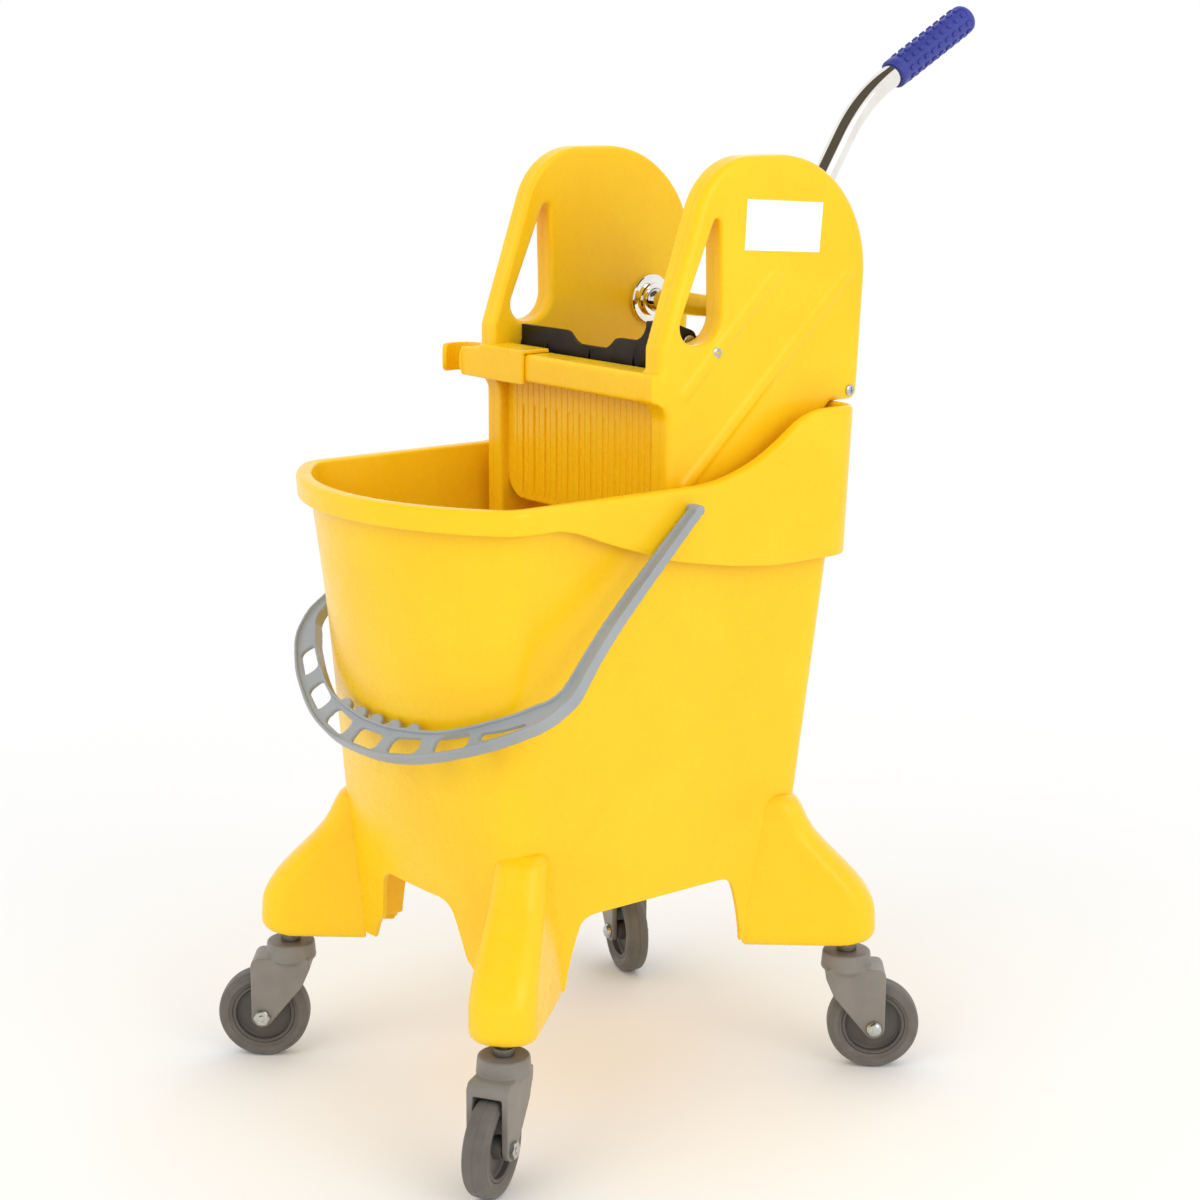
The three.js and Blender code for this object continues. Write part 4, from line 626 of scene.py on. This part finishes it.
def lip_end(name, low, high):
    """The lip's rounded section where it runs across a cheek."""
    section = [(FRONT + 2.6, LIP_TOP, 0), (-LIP_FRONT, LIP_TOP, 3.2), (-LIP_FRONT, LIP_LOW, 2.6),
               (-LIP_FRONT + 4.5, LIP_LOW, 1), (FRONT + 2.6, LIP_LOW - 4, 0)]
    return prism(name, rounded(section, 0.8), low, high, "X")


def cheek_half(name, side, outside):
    """Half a cheek: its face, a wall round the edge and round the hand slot. The outer half's
    edge is wide and soft."""
    outline, slot = cheek_outline(), slot_outline()
    face = CHEEK_OUT if outside else CHEEK_IN
    across, deep = (7.0, 5.0) if outside else (1.6, 1.6)
    inward = -1 if outside else 1
    edge = PARTING + inward * ROUGH
    levels = [(edge, 0.0)] + [(face + inward * deep * (1 - sin(a)), across * (1 - cos(a)))
                              for a in (pi / 16 * k for k in range(9))]
    half = loft(name, [[(side * x, u, v) for u, v in inset(outline, by)] for x, by in levels])
    past = edge + inward * 3
    cut(half, prism("hollow", inset(outline, CHEEK_WALL), side * (face + inward * CHEEK_WALL),
                    side * past))
    join(half, prism("slot_wall", inset(slot, -3.4), side * (face + inward * 1.5), side * edge))
    flare = [(past, 0.0)]
    flare += [(face + inward * 4 * (1 - sin(a)), -3.0 * (1 - cos(a)))
              for a in (pi / 12 * k for k in range(7))]
    flare.append((face - inward * 4, -3.0))
    cut(half, loft("slot", [[(side * x, u, v) for u, v in inset(slot, by)] for x, by in flare]))
    return half


def parted(half, side, outside):
    """Trims a softened half back to the parting, which leaves its edge there crisp."""
    near, far = (PARTING + 0.08, PARTING - 12) if outside else (PARTING - 0.08, PARTING + 12)
    cut(half, block("waste", (side * near, side * far), (-60, 260), (400, 800)))
    return crisp(half, 50)


def raised_rib(side, ends):
    """A low raised rib with round ends across the cover's face."""
    p, q = (Vector((FRONT + DEPTH * y, CHEEK_FOOT + (CHEEK_TOP - CHEEK_FOOT) * z))
            for y, z in ends)
    turn = atan2(q.y - p.y, q.x - p.x)
    rings = []
    for half, x in ((5.2, -1.0), (5.0, 0.0), (4.6, 0.7), (3.9, 1.2), (3.0, 1.45), (1.5, 1.5)):
        track = [*arc(p.x, p.y, half, turn + pi / 2, turn + pi * 1.5, 10),
                 *arc(q.x, q.y, half, turn - pi / 2, turn + pi / 2, 10)]
        rings.append([(side * (CHEEK_OUT + x), u, v) for u, v in track])
    return loft("raised_rib", rings)


def cheek_cover(side, name):
    cover = cheek_half("cheek_cover_" + name, side, True)
    join(cover, lip_end("lip_end", side * (PARTING - ROUGH), side * (CHEEK_OUT - 1.2)),
         *(raised_rib(side, ends) for ends in RIB_SPOTS))
    return parted(soften(cover, 1.3, 5), side, True)


def wringer_cheek(side, name):
    cheek = cheek_half("wringer_cheek_" + name, side, False)
    join(cheek, lip_end("lip_end", side * (CHEEK_IN - 4), side * (PARTING + ROUGH)))
    cut(cheek, bar("shaft_bore", 9.9, side * (CHEEK_IN - 6), side * CHEEK_OUT, *SHAFT))
    return parted(soften(cheek, 1.45, 4), side, False)


def round_footed(low, high):
    """An outline as wide as the basket, with its two lower corners rounded."""
    return rounded([(-WIDE, low, CORNER), (WIDE, low, CORNER), (WIDE, high, 0), (-WIDE, high, 0)])


def wringer_middle():
    """Front lip, basket floor and the sloping fixed wall between the cheeks."""
    section = [(14.5, LIP_TOP, 1), (-LIP_FRONT, LIP_TOP, 3.2), (-LIP_FRONT, LIP_LOW, 2.2),
               (-LIP_FRONT + 4, LIP_LOW, 1), (-LIP_FRONT + 4.6, LIP_TOP - 4.6, 2),
               (14.5, LIP_TOP - 4.6, 0)]
    lip = prism("wringer_middle", rounded(section, 0.8), -WIDE, WIDE)
    basket = prism("basket_floor", round_footed(12.5, 51), BASKET_LOW, BASKET_LOW + 3, "Z")
    low, high = (50, BASKET_LOW), (92, 553)     # the fixed wall's front face, from foot to top
    across = 3 / sin(atan2(high[1] - low[1], high[0] - low[0]))
    slope = prism("fixed_wall", [
        low, (low[0] + across, low[1]), (high[0] + across, high[1]),
        (high[0] + across * 3, high[1]), (high[0] + across * 3, high[1] + 3),
        (high[0], high[1] + 3), (low[0], low[1] + 3)], -WIDE, WIDE)
    slits = []
    for x in GROOVE_PLACES:
        wide = (x - GROOVE_HALF, x + GROOVE_HALF)
        slits.append(block("floor_slit", wide, (18, 46), (450, 470)))
        slits.append(block("wall_slit", wide, (52, 100), (474, 545)))
    join(basket, slope)
    cut(basket, *slits)
    join(lip, basket)
    return soften(lip, 1.35, 3)


def front_wall():
    """The wall below the lip, with rounded lower corners and a row of blind grooves."""
    wall = prism("wringer_front_wall", round_footed(BASKET_LOW, 579), 11.5, 14.6, "Y")
    cut(wall, *(block("groove", (x - GROOVE_HALF, x + GROOVE_HALF), (9, 12.6), (450, 537))
                for x in GROOVE_PLACES))
    return soften(wall, 1.0, 3)


def grown(name, steps, material, sizes):
    """An empty mesh with a Geometry Nodes tree of named sizes, turned to plain mesh."""
    tree = bpy.data.node_groups.new(name, "GeometryNodeTree")
    tree.interface.new_socket("Geometry", in_out="OUTPUT", socket_type="NodeSocketGeometry")
    given = {}
    for label, value in sizes.items():
        kind = "NodeSocketInt" if isinstance(value, int) else "NodeSocketFloat"
        given[label] = tree.interface.new_socket(
            label, in_out="INPUT", socket_type=kind).identifier
    inputs = add(tree, "NodeGroupInput").outputs
    made = steps(tree, {label: inputs[label] for label in sizes})
    whole = add(tree, "GeometryNodeRealizeInstances", {"Geometry": made})
    dressed = add(tree, "GeometryNodeSetMaterial", {
        "Geometry": whole, "Material": material})
    add(tree, "NodeGroupOutput", {"Geometry": dressed})
    piece = link(bpy.data.meshes.new(name), name)
    change = modified(piece, name, "NODES", node_group=tree)
    for label, value in sizes.items():
        change[given[label]] = value
    return applied(piece)


def placed(piece, place):
    """Puts a piece made in metres about its own zero where the drawing has it."""
    piece.data.transform(Matrix.Translation(SHIFT * MM) @ Matrix.Translation(place.translation * MM)
                         @ place.to_3x3().to_4x4())
    return piece


def soft_block(tree, size, kind):
    """A small block whose corners are drawn round."""
    sides = add(tree, "ShaderNodeCombineXYZ", {
        "X": size[kind + " width"], "Y": size[kind + " height"],
        "Z": size[kind + " length"]})
    cube = add(tree, "GeometryNodeMeshCube", {
        "Size": sides, "Vertices X": 4, "Vertices Y": 4, "Vertices Z": 4})
    return add(tree, "GeometryNodeSubdivisionSurface", {"Mesh": cube, "Level": 1})


def in_a_row(tree, axis, count, first, pitch, item):
    """Copies of an item in a straight row along an axis."""
    start, step = (add(tree, "ShaderNodeCombineXYZ", {axis: value}) for value in (first, pitch))
    line = add(tree, "GeometryNodeMeshLine", {
        "Count": count, "Start Location": start, "Offset": step})
    return add(tree, "GeometryNodeInstanceOnPoints", {"Points": line, "Instance": item})


def wall_ribs(tree, size):
    """Fine upright ribs side by side."""
    return in_a_row(tree, "X", size["Ribs"], size["First rib"], size["Rib pitch"],
                    soft_block(tree, size, "Rib"))


# ---------------- carrying handle
# half of the band's two edges and its thickness, as shares of its half width and length
BAIL_OUTER = [
    (0.87, 0), (0.878, 0.1), (0.886, 0.2), (0.896, 0.309), (0.908, 0.4), (0.93, 0.5), (0.955, 0.57),
    (0.974, 0.62), (0.978, 0.655), (0.948, 0.716), (0.906, 0.756), (0.839, 0.796), (0.728, 0.851),
    (0.617, 0.893), (0.467, 0.942), (0.322, 0.975), (0.167, 0.995), (0, 1)]
BAIL_INNER = [
    (0.811, 0), (0.815, 0.182), (0.825, 0.327), (0.84, 0.436), (0.858, 0.51), (0.876, 0.57),
    (0.889, 0.615), (0.888, 0.65), (0.864, 0.68), (0.833, 0.695), (0.75, 0.742), (0.644, 0.787),
    (0.583, 0.811), (0.45, 0.855), (0.322, 0.88), (0.111, 0.902), (0, 0.904)]
BAIL_THIN = [(0, 0.66), (0.2, 0.72), (0.45, 0.8), (0.58, 0.9), (0.68, 1), (1, 1)]
BAIL_SLOT = [(116, 233), (128, 227), (142, 217), (149, 210.5), (148, 208.5), (140, 213.5),
             (126, 221.5), (114, 227), (116, 233)]
BAIL_PIVOT, BAIL_HANG, BAIL_HALF, BAIL_LONG = (3, 485), radians(42), 180, 275
WINDOW_CROWN, BUMP_CROWN = 390.6, 720  # twice the radius that each row is bowed to


def mirrored(line):
    """A line's mirror image, run back from the end that the two share."""
    return [(-u, v) for u, v in reversed(line[:-1])]


def bail_handle():
    """A band with a raised rim along both edges, finger windows, and arms that thin towards
    the pins, drawn flat and turned to where it hangs against the nose."""
    place = posed((0, *BAIL_PIVOT), pi + BAIL_HANG, "X")
    outer, inner = (through([(BAIL_HALF * a, BAIL_LONG * b) for a, b in line], 5)
                    for line in (BAIL_OUTER, BAIL_INNER))
    ring = [*outer, *mirrored(outer), *reversed([*inner, *mirrored(inner)])]
    bail = prism("bail_handle_band", ring, -5, 5, "Z", place)
    hole = rounded([(-16, -7.2, 5), (16, -7.2, 5), (16, 7.2, 5), (-16, 7.2, 5)], 0.8)
    tools = []
    for u in ((i - 2.5) * 44.2 - 19.5 for i in range(6)):
        lean = atan(2 * u / WINDOW_CROWN)
        c, s = cos(-lean), sin(-lean)
        v = BAIL_LONG - 12 - u * u / WINDOW_CROWN
        tools.append(prism("window", [(u + a * c - b * s, v + a * s + b * c) for a, b in hole],
                           -11, 11, "Z", place))
    bumps = [prism("finger_bump", circle(u, 248.6 - u ** 2 / BUMP_CROWN + 1.2, 8, 32), -4.5, 0,
                   "Z", place) for u in ((i - 2) * 23.2 for i in range(5))]
    join(bail, *bumps)
    within = inset(ring, 2.3)
    tools += [prism("recess", within, low, high, "Z", place)
              for low, high in ((-11, -1.8), (1.8, 11))]
    tools.append(prism("tapered_slot", through(BAIL_SLOT, 4)[:-1], -11, 11, "Z", place))
    cut(bail, *tools)
    back = place.inverted()
    for vertex in bail.data.vertices:
        spot = back @ (vertex.co / MM - SHIFT)
        spot.z *= glide(BAIL_THIN, abs(spot.y) / BAIL_LONG)
        vertex.co = (place @ spot + SHIFT) * MM
    join(bail, *(bar("bail_end", 4.1, side * 146.2, side * 156.4, *BAIL_PIVOT, 32)
                 for side in (-1, 1)))
    cut(bail, *(bar("pin_bore", 3, side * 130, side * 155.2, *BAIL_PIVOT, 24)
                for side in (-1, 1)))
    return soften(bail, 0.85, 2)


CLIP_X, CLIP_Y, CLIP_LOW, CLIP_HIGH, CLIP_INNER, CLIP_OUTER = -136, -3, 558, 581, 14.6, 18.5


def mop_clip():
    """A sprung ring for a mop handle, open to the front, on a sleeve over the lip."""
    half, corner = radians(40), 7.0
    start, end = -pi / 2 + half, pi * 1.5 - half
    rings = []
    for k in range(73):
        a = mix(start, end, k / 72)
        short = max(0.0, corner - 16.6 * min(a - start, end - a))
        drop = corner - sqrt(corner ** 2 - short ** 2)
        low, high = CLIP_LOW + drop, CLIP_HIGH - drop
        rings.append([(CLIP_X + r * cos(a), CLIP_Y + r * sin(a), z) for r, z in
                      ((CLIP_OUTER, low), (CLIP_OUTER, high), (CLIP_INNER, high),
                       (CLIP_INNER, low))])
    front = -LIP_FRONT - 0.3 - 3
    join_x = CLIP_X + CLIP_OUTER * cos(start) - 1.1
    clip = loft("mop_clip_spring", rings)
    join(clip, block("clip_plate", (join_x, -42), (front, front + 3), (CLIP_LOW, CLIP_HIGH)),
         block("clip_top", (-95.1, -42), (front, 13), (582.3, 585.3)),
         block("clip_upright", (-100, -42), (front, front + 3), (CLIP_LOW, 585.3)))
    return soften(clip, 0.8, 5)


# ---------------- lever and shaft
LEVER_X, LEAN, GRIP_LEAN = 42.0, radians(57.2), radians(29.3)
BEND_SOFT, TUBE_RADIUS = 34, 9.5


def ahead_by(spot, angle, length):
    return (spot[0] + cos(angle) * length, spot[1] + sin(angle) * length)


BEND = ahead_by(SHAFT, LEAN, 197)
PAST_BEND = ahead_by(BEND, GRIP_LEAN, BEND_SOFT)
GRIP_PLACE = posed((LEVER_X, *ahead_by(PAST_BEND, GRIP_LEAN, 8)), GRIP_LEAN - pi / 2, "X")


def tube(name, path, radius, sides=56):
    """A round tube along a line of (y, z) points at the lever's place across."""
    rings = []
    for i, (y, z) in enumerate(path):
        a, b = path[max(i - 1, 0)], path[min(i + 1, len(path) - 1)]
        turn = atan2(b[1] - a[1], b[0] - a[0])
        rings.append([(LEVER_X + radius * cos(t), y - sin(turn) * radius * sin(t),
                       z + cos(turn) * radius * sin(t))
                      for t in (2 * pi * k / sides for k in range(sides))])
    return loft(name, rings)


def lever_tube():
    before = ahead_by(BEND, LEAN, -BEND_SOFT)
    curve = [tuple(before[k] * (1 - t) ** 2 + 2 * BEND[k] * t * (1 - t) + PAST_BEND[k] * t * t
                   for k in (0, 1)) for t in (i / 28 for i in range(1, 28))]
    start = ahead_by(SHAFT, LEAN, 10.4)
    straight = [ahead_by(start, LEAN, s) for s in (0, 40, 80, 120)]
    path = [*straight, before, *curve, PAST_BEND, ahead_by(PAST_BEND, GRIP_LEAN, 100.5)]
    return crisp(tube("lever_tube_bent", path, TUBE_RADIUS), 40)


def turned_x(name, profile, side, y, z, sides=64):
    """A turned piece along X: heights run outwards on the given side."""
    return turned(name, profile, sides, posed((0, y, z), side * pi / 2, "Y"))


def lever_socket():
    sleeve = bar("lever_socket_sleeve", 15, LEVER_X - 14, LEVER_X + 14, *SHAFT, 64)
    join(sleeve, tube("neck", [SHAFT, ahead_by(SHAFT, LEAN, 32)], 12.5))
    cut(sleeve, tube("tube_bore", [ahead_by(SHAFT, LEAN, s) for s in (10.1, 40)], 9.8),
        bar("shaft_bore", 9.8, LEVER_X - 28, LEVER_X + 28, *SHAFT, 64))
    return soften(sleeve, 0.5, 4)


def grip_studs(tree, size):
    """Rows of raised studs round the grip, each row level with the next."""
    index = add(tree, "GeometryNodeInputIndex")
    turn = add(tree, "ShaderNodeMath", {0: index, 1: size["Stud turn"], 2: pi / 2},
               operation="MULTIPLY_ADD")
    around = add(tree, "GeometryNodeMeshCircle", {
        "Vertices": size["Studs round"], "Radius": size["Radius"]})
    ring = add(tree, "GeometryNodeInstanceOnPoints", {
        "Points": around, "Instance": soft_block(tree, size, "Stud"),
        "Rotation": add(tree, "ShaderNodeCombineXYZ", {"Z": turn})})
    return in_a_row(tree, "Z", size["Rows"], size["First row"], size["Row pitch"], ring)


# ---------------- casters
TRAIL, AXLE_HIGH = 23, 37.5  # the axle behind the stem, and over the floor
WHEEL = posed((TRAIL, 0, AXLE_HIGH), pi / 2, "X")
BAY_RADIUS, BAY_HALF = 41, 11.5  # the room for the wheel between the fork's plates


def half_profile(points):
    """A profile of (radius, half width) pairs, mirrored to the other side of the wheel."""
    return [(r, -w) for r, w in points] + [(r, w) for r, w in reversed(points)]


# tread with a faint parting line round its middle and a raised ring on each side
TYRE = half_profile([(26, 8), (28.5, 9.2), (29.2, 9.9), (32.6, 9.9), (33.4, 9.2), (35.2, 8.9),
                     (36.6, 7.6), (37.3, 5.6), (37.5, 3), (37.5, 0.8), (37.15, 0.25)])
HUB = half_profile([(4.4, 10), (8.1, 10), (8.5, 9.6), (9, 3.2), (10.5, 2.5), (21, 2.5),
                    (22.7, 3.6), (22.7, 7.6), (23.2, 8.2), (25.3, 8.2), (25.7, 7.8)])
STEM = [(0, 74), (6.6, 74), (7, 74.4), (7, 76.7), (4.5, 76.7), (4.5, 100.3), (7.8, 100.3),
        (8.2, 100.7), (8.2, 106), (7.8, 106.4), (5.5, 106.4), (5.5, 144), (4.8, 144.7), (0, 144.7)]


def fork(name, place):
    """Swivel fork: cap with a skirt, neck, and two plates that run down to the axle eyes."""
    side = [(-17, 88), (-17, 79.5), (-10.2, 63.75),
            *arc(TRAIL, AXLE_HIGH, 8.8, pi * 1.22, pi * 2, 16),
            *rounded([(31.8, 37.5, 0), (31.8, 88, 7), (-17, 88, 0)], 1.0)[1:-1]]
    body = prism("fork_" + name + "_body", side, -16.5, 16.5, "Y", place)
    cap = turned("cap", [(0, 77), (13.6, 77), (17, 82), (19.2, 84.6), (20.4, 85.6), (20.6, 88),
                         (20.3, 89.6), (19.6, 98.6), (18.9, 99.7), (17.8, 100), (0, 100)],
                 64, place)
    join(body, cap)
    below = oblong((-18, TRAIL + BAY_RADIUS), (-AXLE_HIGH, AXLE_HIGH))
    cut(body,
        prism("bay", circle(TRAIL, AXLE_HIGH, BAY_RADIUS, 64), -BAY_HALF, BAY_HALF, "Y", place),
        prism("below", below, -BAY_HALF, BAY_HALF, "Y", place),
        prism("stem_bore", circle(0, 0, 4.8, 24), 30, 110, "Z", place),
        prism("rivet_bay", circle(0, 0, 7.9, 24), 30, 77, "Z", place),
        prism("axle_bore", circle(TRAIL, AXLE_HIGH, 4.3, 24), -20, 20, "Y", place))
    return soften(body, 0.78, 3)


def axle(name, place):
    """Axle bolt with a hexagon head whose turned end shows as a button in the middle."""
    bolt = prism("axle_" + name + "_bolt", circle(0, 0, 6.9, 6), -19.8, -16.8, "Z", place)
    cut(bolt, turned("chamfer", [(8, -21), (5.4, -21), (5.4, -19.8), (8, -18.3)], 48, place))
    join(bolt, turned("shank", [(0, -20.7), (2.2, -20.7), (2.8, -20.2), (2.8, -19.3), (4, -19.2),
                                (4, 19.7), (3.4, 20.2), (0, 20.2)], 36, place))
    return crisp(bolt, 25)


def axle_nut(name, place):
    """Domed nut, pressed on the bolt's other end."""
    nut = turned("axle_nut_" + name + "_dome", [
        (0, 16.8), (6.3, 16.8), (6.6, 17.1), (6.6, 17.9), (6.3, 18.9), (5.6, 19.9), (4.5, 20.7),
        (3.1, 21.2), (1.6, 21.5), (0, 21.6)], 48, place)
    cut(nut, prism("thread", circle(0, 0, 4.2, 32), 10, 20.5, "Z", place))
    return crisp(nut, 40)


def cover_screw(name, side, y, z):
    """Pan-head screw with a cross recess."""
    face = CHEEK_OUT
    screw = turned_x(name, [
        (0, face - 9), (1.7, face - 9), (2, face - 8.5), (2, face + 0.05), (4.2, face + 0.05),
        (4.5, face + 0.4), (4.3, face + 1.1), (3.6, face + 1.6), (2.2, face + 1.9), (0, face + 2)],
        side, y, z, 40)
    deep = (side * (face + 0.7), side * (face + 3))
    cut(screw, block("recess", deep, (y - 0.5, y + 0.5), (z - 2.3, z + 2.3)),
        block("recess", deep, (y - 2.3, y + 2.3), (z - 0.5, z + 0.5)))
    return crisp(screw, 35)


# ---------------- studio
WORLD = 0.93
# each lamp: its place and width in metres, and its power in watts
LAMPS = (("key_softbox", (0.4, -2.6, 2.4), 2.0, 16.0), ("side_softbox", (3.0, 0.2, 1.6), 1.8, 17.0),
         ("back_softbox", (-1.6, 2.4, 2.2), 1.8, 8.0))
LAMP_AIM = Vector((0, 0, 0.4))
DARK_CEILING = (0.0, -0.45, 0.89)  # where the studio is dark above the lamps, as chrome shows it
FLOOR_HALF, FADE_START, FADE_END = 7.0, 0.45, 1.3  # metres; the floor turns to white outwards


def is_seen(tree):
    """1 where the camera, a mirror or clear glass looks, 0 for light that spreads."""
    rays = add(tree, "ShaderNodeLightPath").outputs
    seen = rays["Is Camera Ray"]
    for other in ("Is Glossy Ray", "Is Transmission Ray"):
        seen = add(tree, "ShaderNodeMath", {0: seen, 1: rays[other]}, operation="MAXIMUM")
    return seen


def set_floor():
    half = FLOOR_HALF
    mesh = bpy.data.meshes.new("studio_floor")
    mesh.from_pydata([(-half, -half, 0), (half, -half, 0), (half, half, 0), (-half, half, 0)], [],
                     [(0, 1, 2, 3)])
    floor = link(mesh, "studio_floor")
    material, tree = new_material("matt_studio_floor")
    place = add(tree, "ShaderNodeTexCoord").outputs["Object"]
    reach = add(tree, "ShaderNodeVectorMath", {0: place}, operation="LENGTH").outputs["Value"]
    far = add(tree, "ShaderNodeMapRange", {
        "Value": reach, "From Min": FADE_START, "From Max": FADE_END})
    fade = add(tree, "ShaderNodeMath", {0: far, 1: is_seen(tree)}, operation="MULTIPLY")
    matt = add(tree, "ShaderNodeBsdfDiffuse", {"Color": linear("#F8F8F7")})
    white = add(tree, "ShaderNodeEmission", {
        "Color": linear("#FFFFFF"), "Strength": 1.0})
    blend = add(tree, "ShaderNodeMixShader", {0: fade, 1: matt, 2: white})
    add(tree, "ShaderNodeOutputMaterial", {"Surface": blend})
    mesh.materials.append(material)


def set_air():
    """A white surround with a dark patch overhead that only mirrors show."""
    world = bpy.data.worlds.new("studio_air")
    scene.world = world
    world.use_nodes = True
    tree = world.node_tree
    tree.nodes.clear()
    soft = add(tree, "ShaderNodeBackground", {
        "Color": linear("#FFFFFF"), "Strength": WORLD})
    look = add(tree, "ShaderNodeTexCoord").outputs["Generated"]
    towards = add(tree, "ShaderNodeVectorMath", {0: look, 1: DARK_CEILING},
                  operation="DOT_PRODUCT").outputs["Value"]
    dark = add(tree, "ShaderNodeMapRange", {
        "Value": towards, "From Min": 0.69, "From Max": 0.73})
    glossy = add(tree, "ShaderNodeLightPath").outputs["Is Glossy Ray"]
    mirrored_dark = add(tree, "ShaderNodeMath", {0: dark, 1: glossy},
                        operation="MULTIPLY")
    colour = add(tree, "ShaderNodeMix", {
        0: mirrored_dark, 6: linear("#FFFFFF"), 7: linear("#5E574A")}, data_type="RGBA").outputs[2]
    white = add(tree, "ShaderNodeBackground", {"Color": colour, "Strength": 1.0})
    blend = add(tree, "ShaderNodeMixShader", {0: is_seen(tree), 1: soft, 2: white})
    add(tree, "ShaderNodeOutputWorld", {"Surface": blend})


def set_lamps():
    for name, spot, width, power in LAMPS:
        lamp = bpy.data.lights.new(name, "AREA")
        lamp.shape = "SQUARE"
        lamp.size = width
        lamp.energy = power
        thing = link(lamp, name)
        thing.visible_glossy = name != "key_softbox"
        turn = (LAMP_AIM - Vector(spot)).to_track_quat("-Z", "Y").to_matrix().to_4x4()
        thing.matrix_world = Matrix.Translation(spot) @ turn


# ---------------- all pieces
def give_yellow(piece, *nodes, body=None):
    return give(piece, "yellow_plastic", YELLOW, *nodes, body=body)


set_camera()
set_floor()
set_air()
set_lamps()

give_yellow(bucket_shell(), "bucket")
for corner, (sx, sy, heading) in CORNERS.items():
    give_yellow(bucket_leg(corner, sx, sy), "bucket")
    place = stem_place(sx, sy, radians(heading))
    stem, hub, tyre = f"stem_{corner}", f"hub_{corner}", f"tyre_{corner}"
    give(crisp(turned(stem + "_turned", STEM, 40, place), 30), "zinc_steel", DULL_ZINC, stem)
    give(fork(corner, place), "caster_plastic", NYLON, f"fork_{corner}")
    place = place @ WHEEL
    give(axle(corner, place), "zinc_steel", ZINC, f"axle_{corner}")
    give(axle_nut(corner, place), "zinc_steel", ZINC, f"axle_nut_{corner}")
    # the hub's darker grey is painted shade for its deep recess; the hub is the same nylon as the
    # fork
    give(crisp(turned(hub + "_wheel", HUB, 72, place), 30), "caster_plastic", NYLON_PAINTED_SHADE, hub)
    give(crisp(turned(tyre + "_tread", TYRE, 96, place), 26), "tyre_rubber", RUBBER, tyre)

give(bail_handle(), "grey_plastic", GREY, "bail_handle")
give_yellow(mop_clip(), "mop_clip")
give_yellow(wringer_middle(), "wringer_frame")
give_yellow(front_wall(), "wringer_frame")
FLANGE = [(9.9, 86.6), (13, 86.6), (13.7, 87), (14, 87.8), (14, 89.9), (15.4, 90.6), (17.5, 91.1),
          (20, 91.3), (20.8, 92), (21, 92.8), (21, 95.1), (9.9, 95.1)]
for side, name in ((-1, "left"), (1, "right")):
    give_yellow(wringer_cheek(side, name), "wringer_frame")
    give_yellow(cheek_cover(side, name), f"cheek_cover_{name}")
    node = f"shaft_flange_{name}"
    give(crisp(turned_x(node + "_turned", FLANGE, side, *SHAFT), 30), "chrome", CHROME, node)
    skin(f"bail_pin_{name}", "grey_plastic", GREY, 0.5)
    for n, (y, z) in enumerate(SCREW_SPOTS, 1):
        node = f"cover_screw_{name}_{n}"
        give(cover_screw(node, side, y, z), "zinc_steel", ZINC, node)

RIBS = {"Ribs": 24, "First rib": -85.1 * MM, "Rib pitch": 7.4 * MM, "Rib width": 4.4 * MM,
        "Rib height": 2.2 * MM, "Rib length": 114 * MM}
ribs = grown("front_wall_ribs", wall_ribs, YELLOW, RIBS)
give_yellow(placed(ribs, Matrix.Translation((0, 12.0, 521))), body="bucket_body")

skin("press_plate", "black_plastic", BLACK, 0.6)
for node in ("press_plate_rod", "ear_pin", "pull_link", "crank_pin", "crank_arm"):
    skin(node, "zinc_steel", ZINC, 0.4)
SHAFT_PROFILE = [(0, -113.2), (8.9, -113.2), (9.5, -112.6), (9.5, 112.6), (8.9, 113.2),
                 (0, 113.2)]
give(crisp(turned_x("cross_shaft_bright", SHAFT_PROFILE, 1, *SHAFT), 40), "chrome", CHROME,
     "cross_shaft")
give(lever_socket(), "chrome", CHROME, "lever_socket")
give(lever_tube(), "chrome", CHROME, "lever_tube")

grip = turned("lever_grip_sleeve", [
    (9.8, 0), (11.4, 0), (12.2, 0.5), (12.4, 1.4), (12.4, 8), (12.1, 8.6), (11.6, 9), (11.6, 89),
    (12.1, 89.6), (12.3, 91), (11.9, 93.4), (10.6, 95.2), (8.4, 96), (0, 96), (0, 92.8),
    (9.8, 92.8)], 64, GRIP_PLACE)
give(crisp(grip, 30), "grip_plastic", VINYL, "lever_grip")
STUDS = {"Studs round": 9, "Stud turn": 2 * pi / 9, "Rows": 9, "Radius": 11.6 * MM,
         "First row": 13 * MM, "Row pitch": 9.1 * MM, "Stud height": 2.6 * MM,
         "Stud width": 3.9 * MM, "Stud length": 4.8 * MM}
studs = grown("grip_studs", grip_studs, VINYL, STUDS)
give(placed(studs, GRIP_PLACE), "grip_plastic", VINYL, body="lever")

LABEL_CORNERS = [(79, 708), (157, 703), (154, 665), (77, 670)]
label = prism("bare_label_plate", LABEL_CORNERS, CHEEK_OUT - 0.2, CHEEK_OUT + 0.25)
give(crisp(label, 30), "yellow_plastic", LABEL, body="bucket_body")

scene.view_settings.view_transform = "Standard"
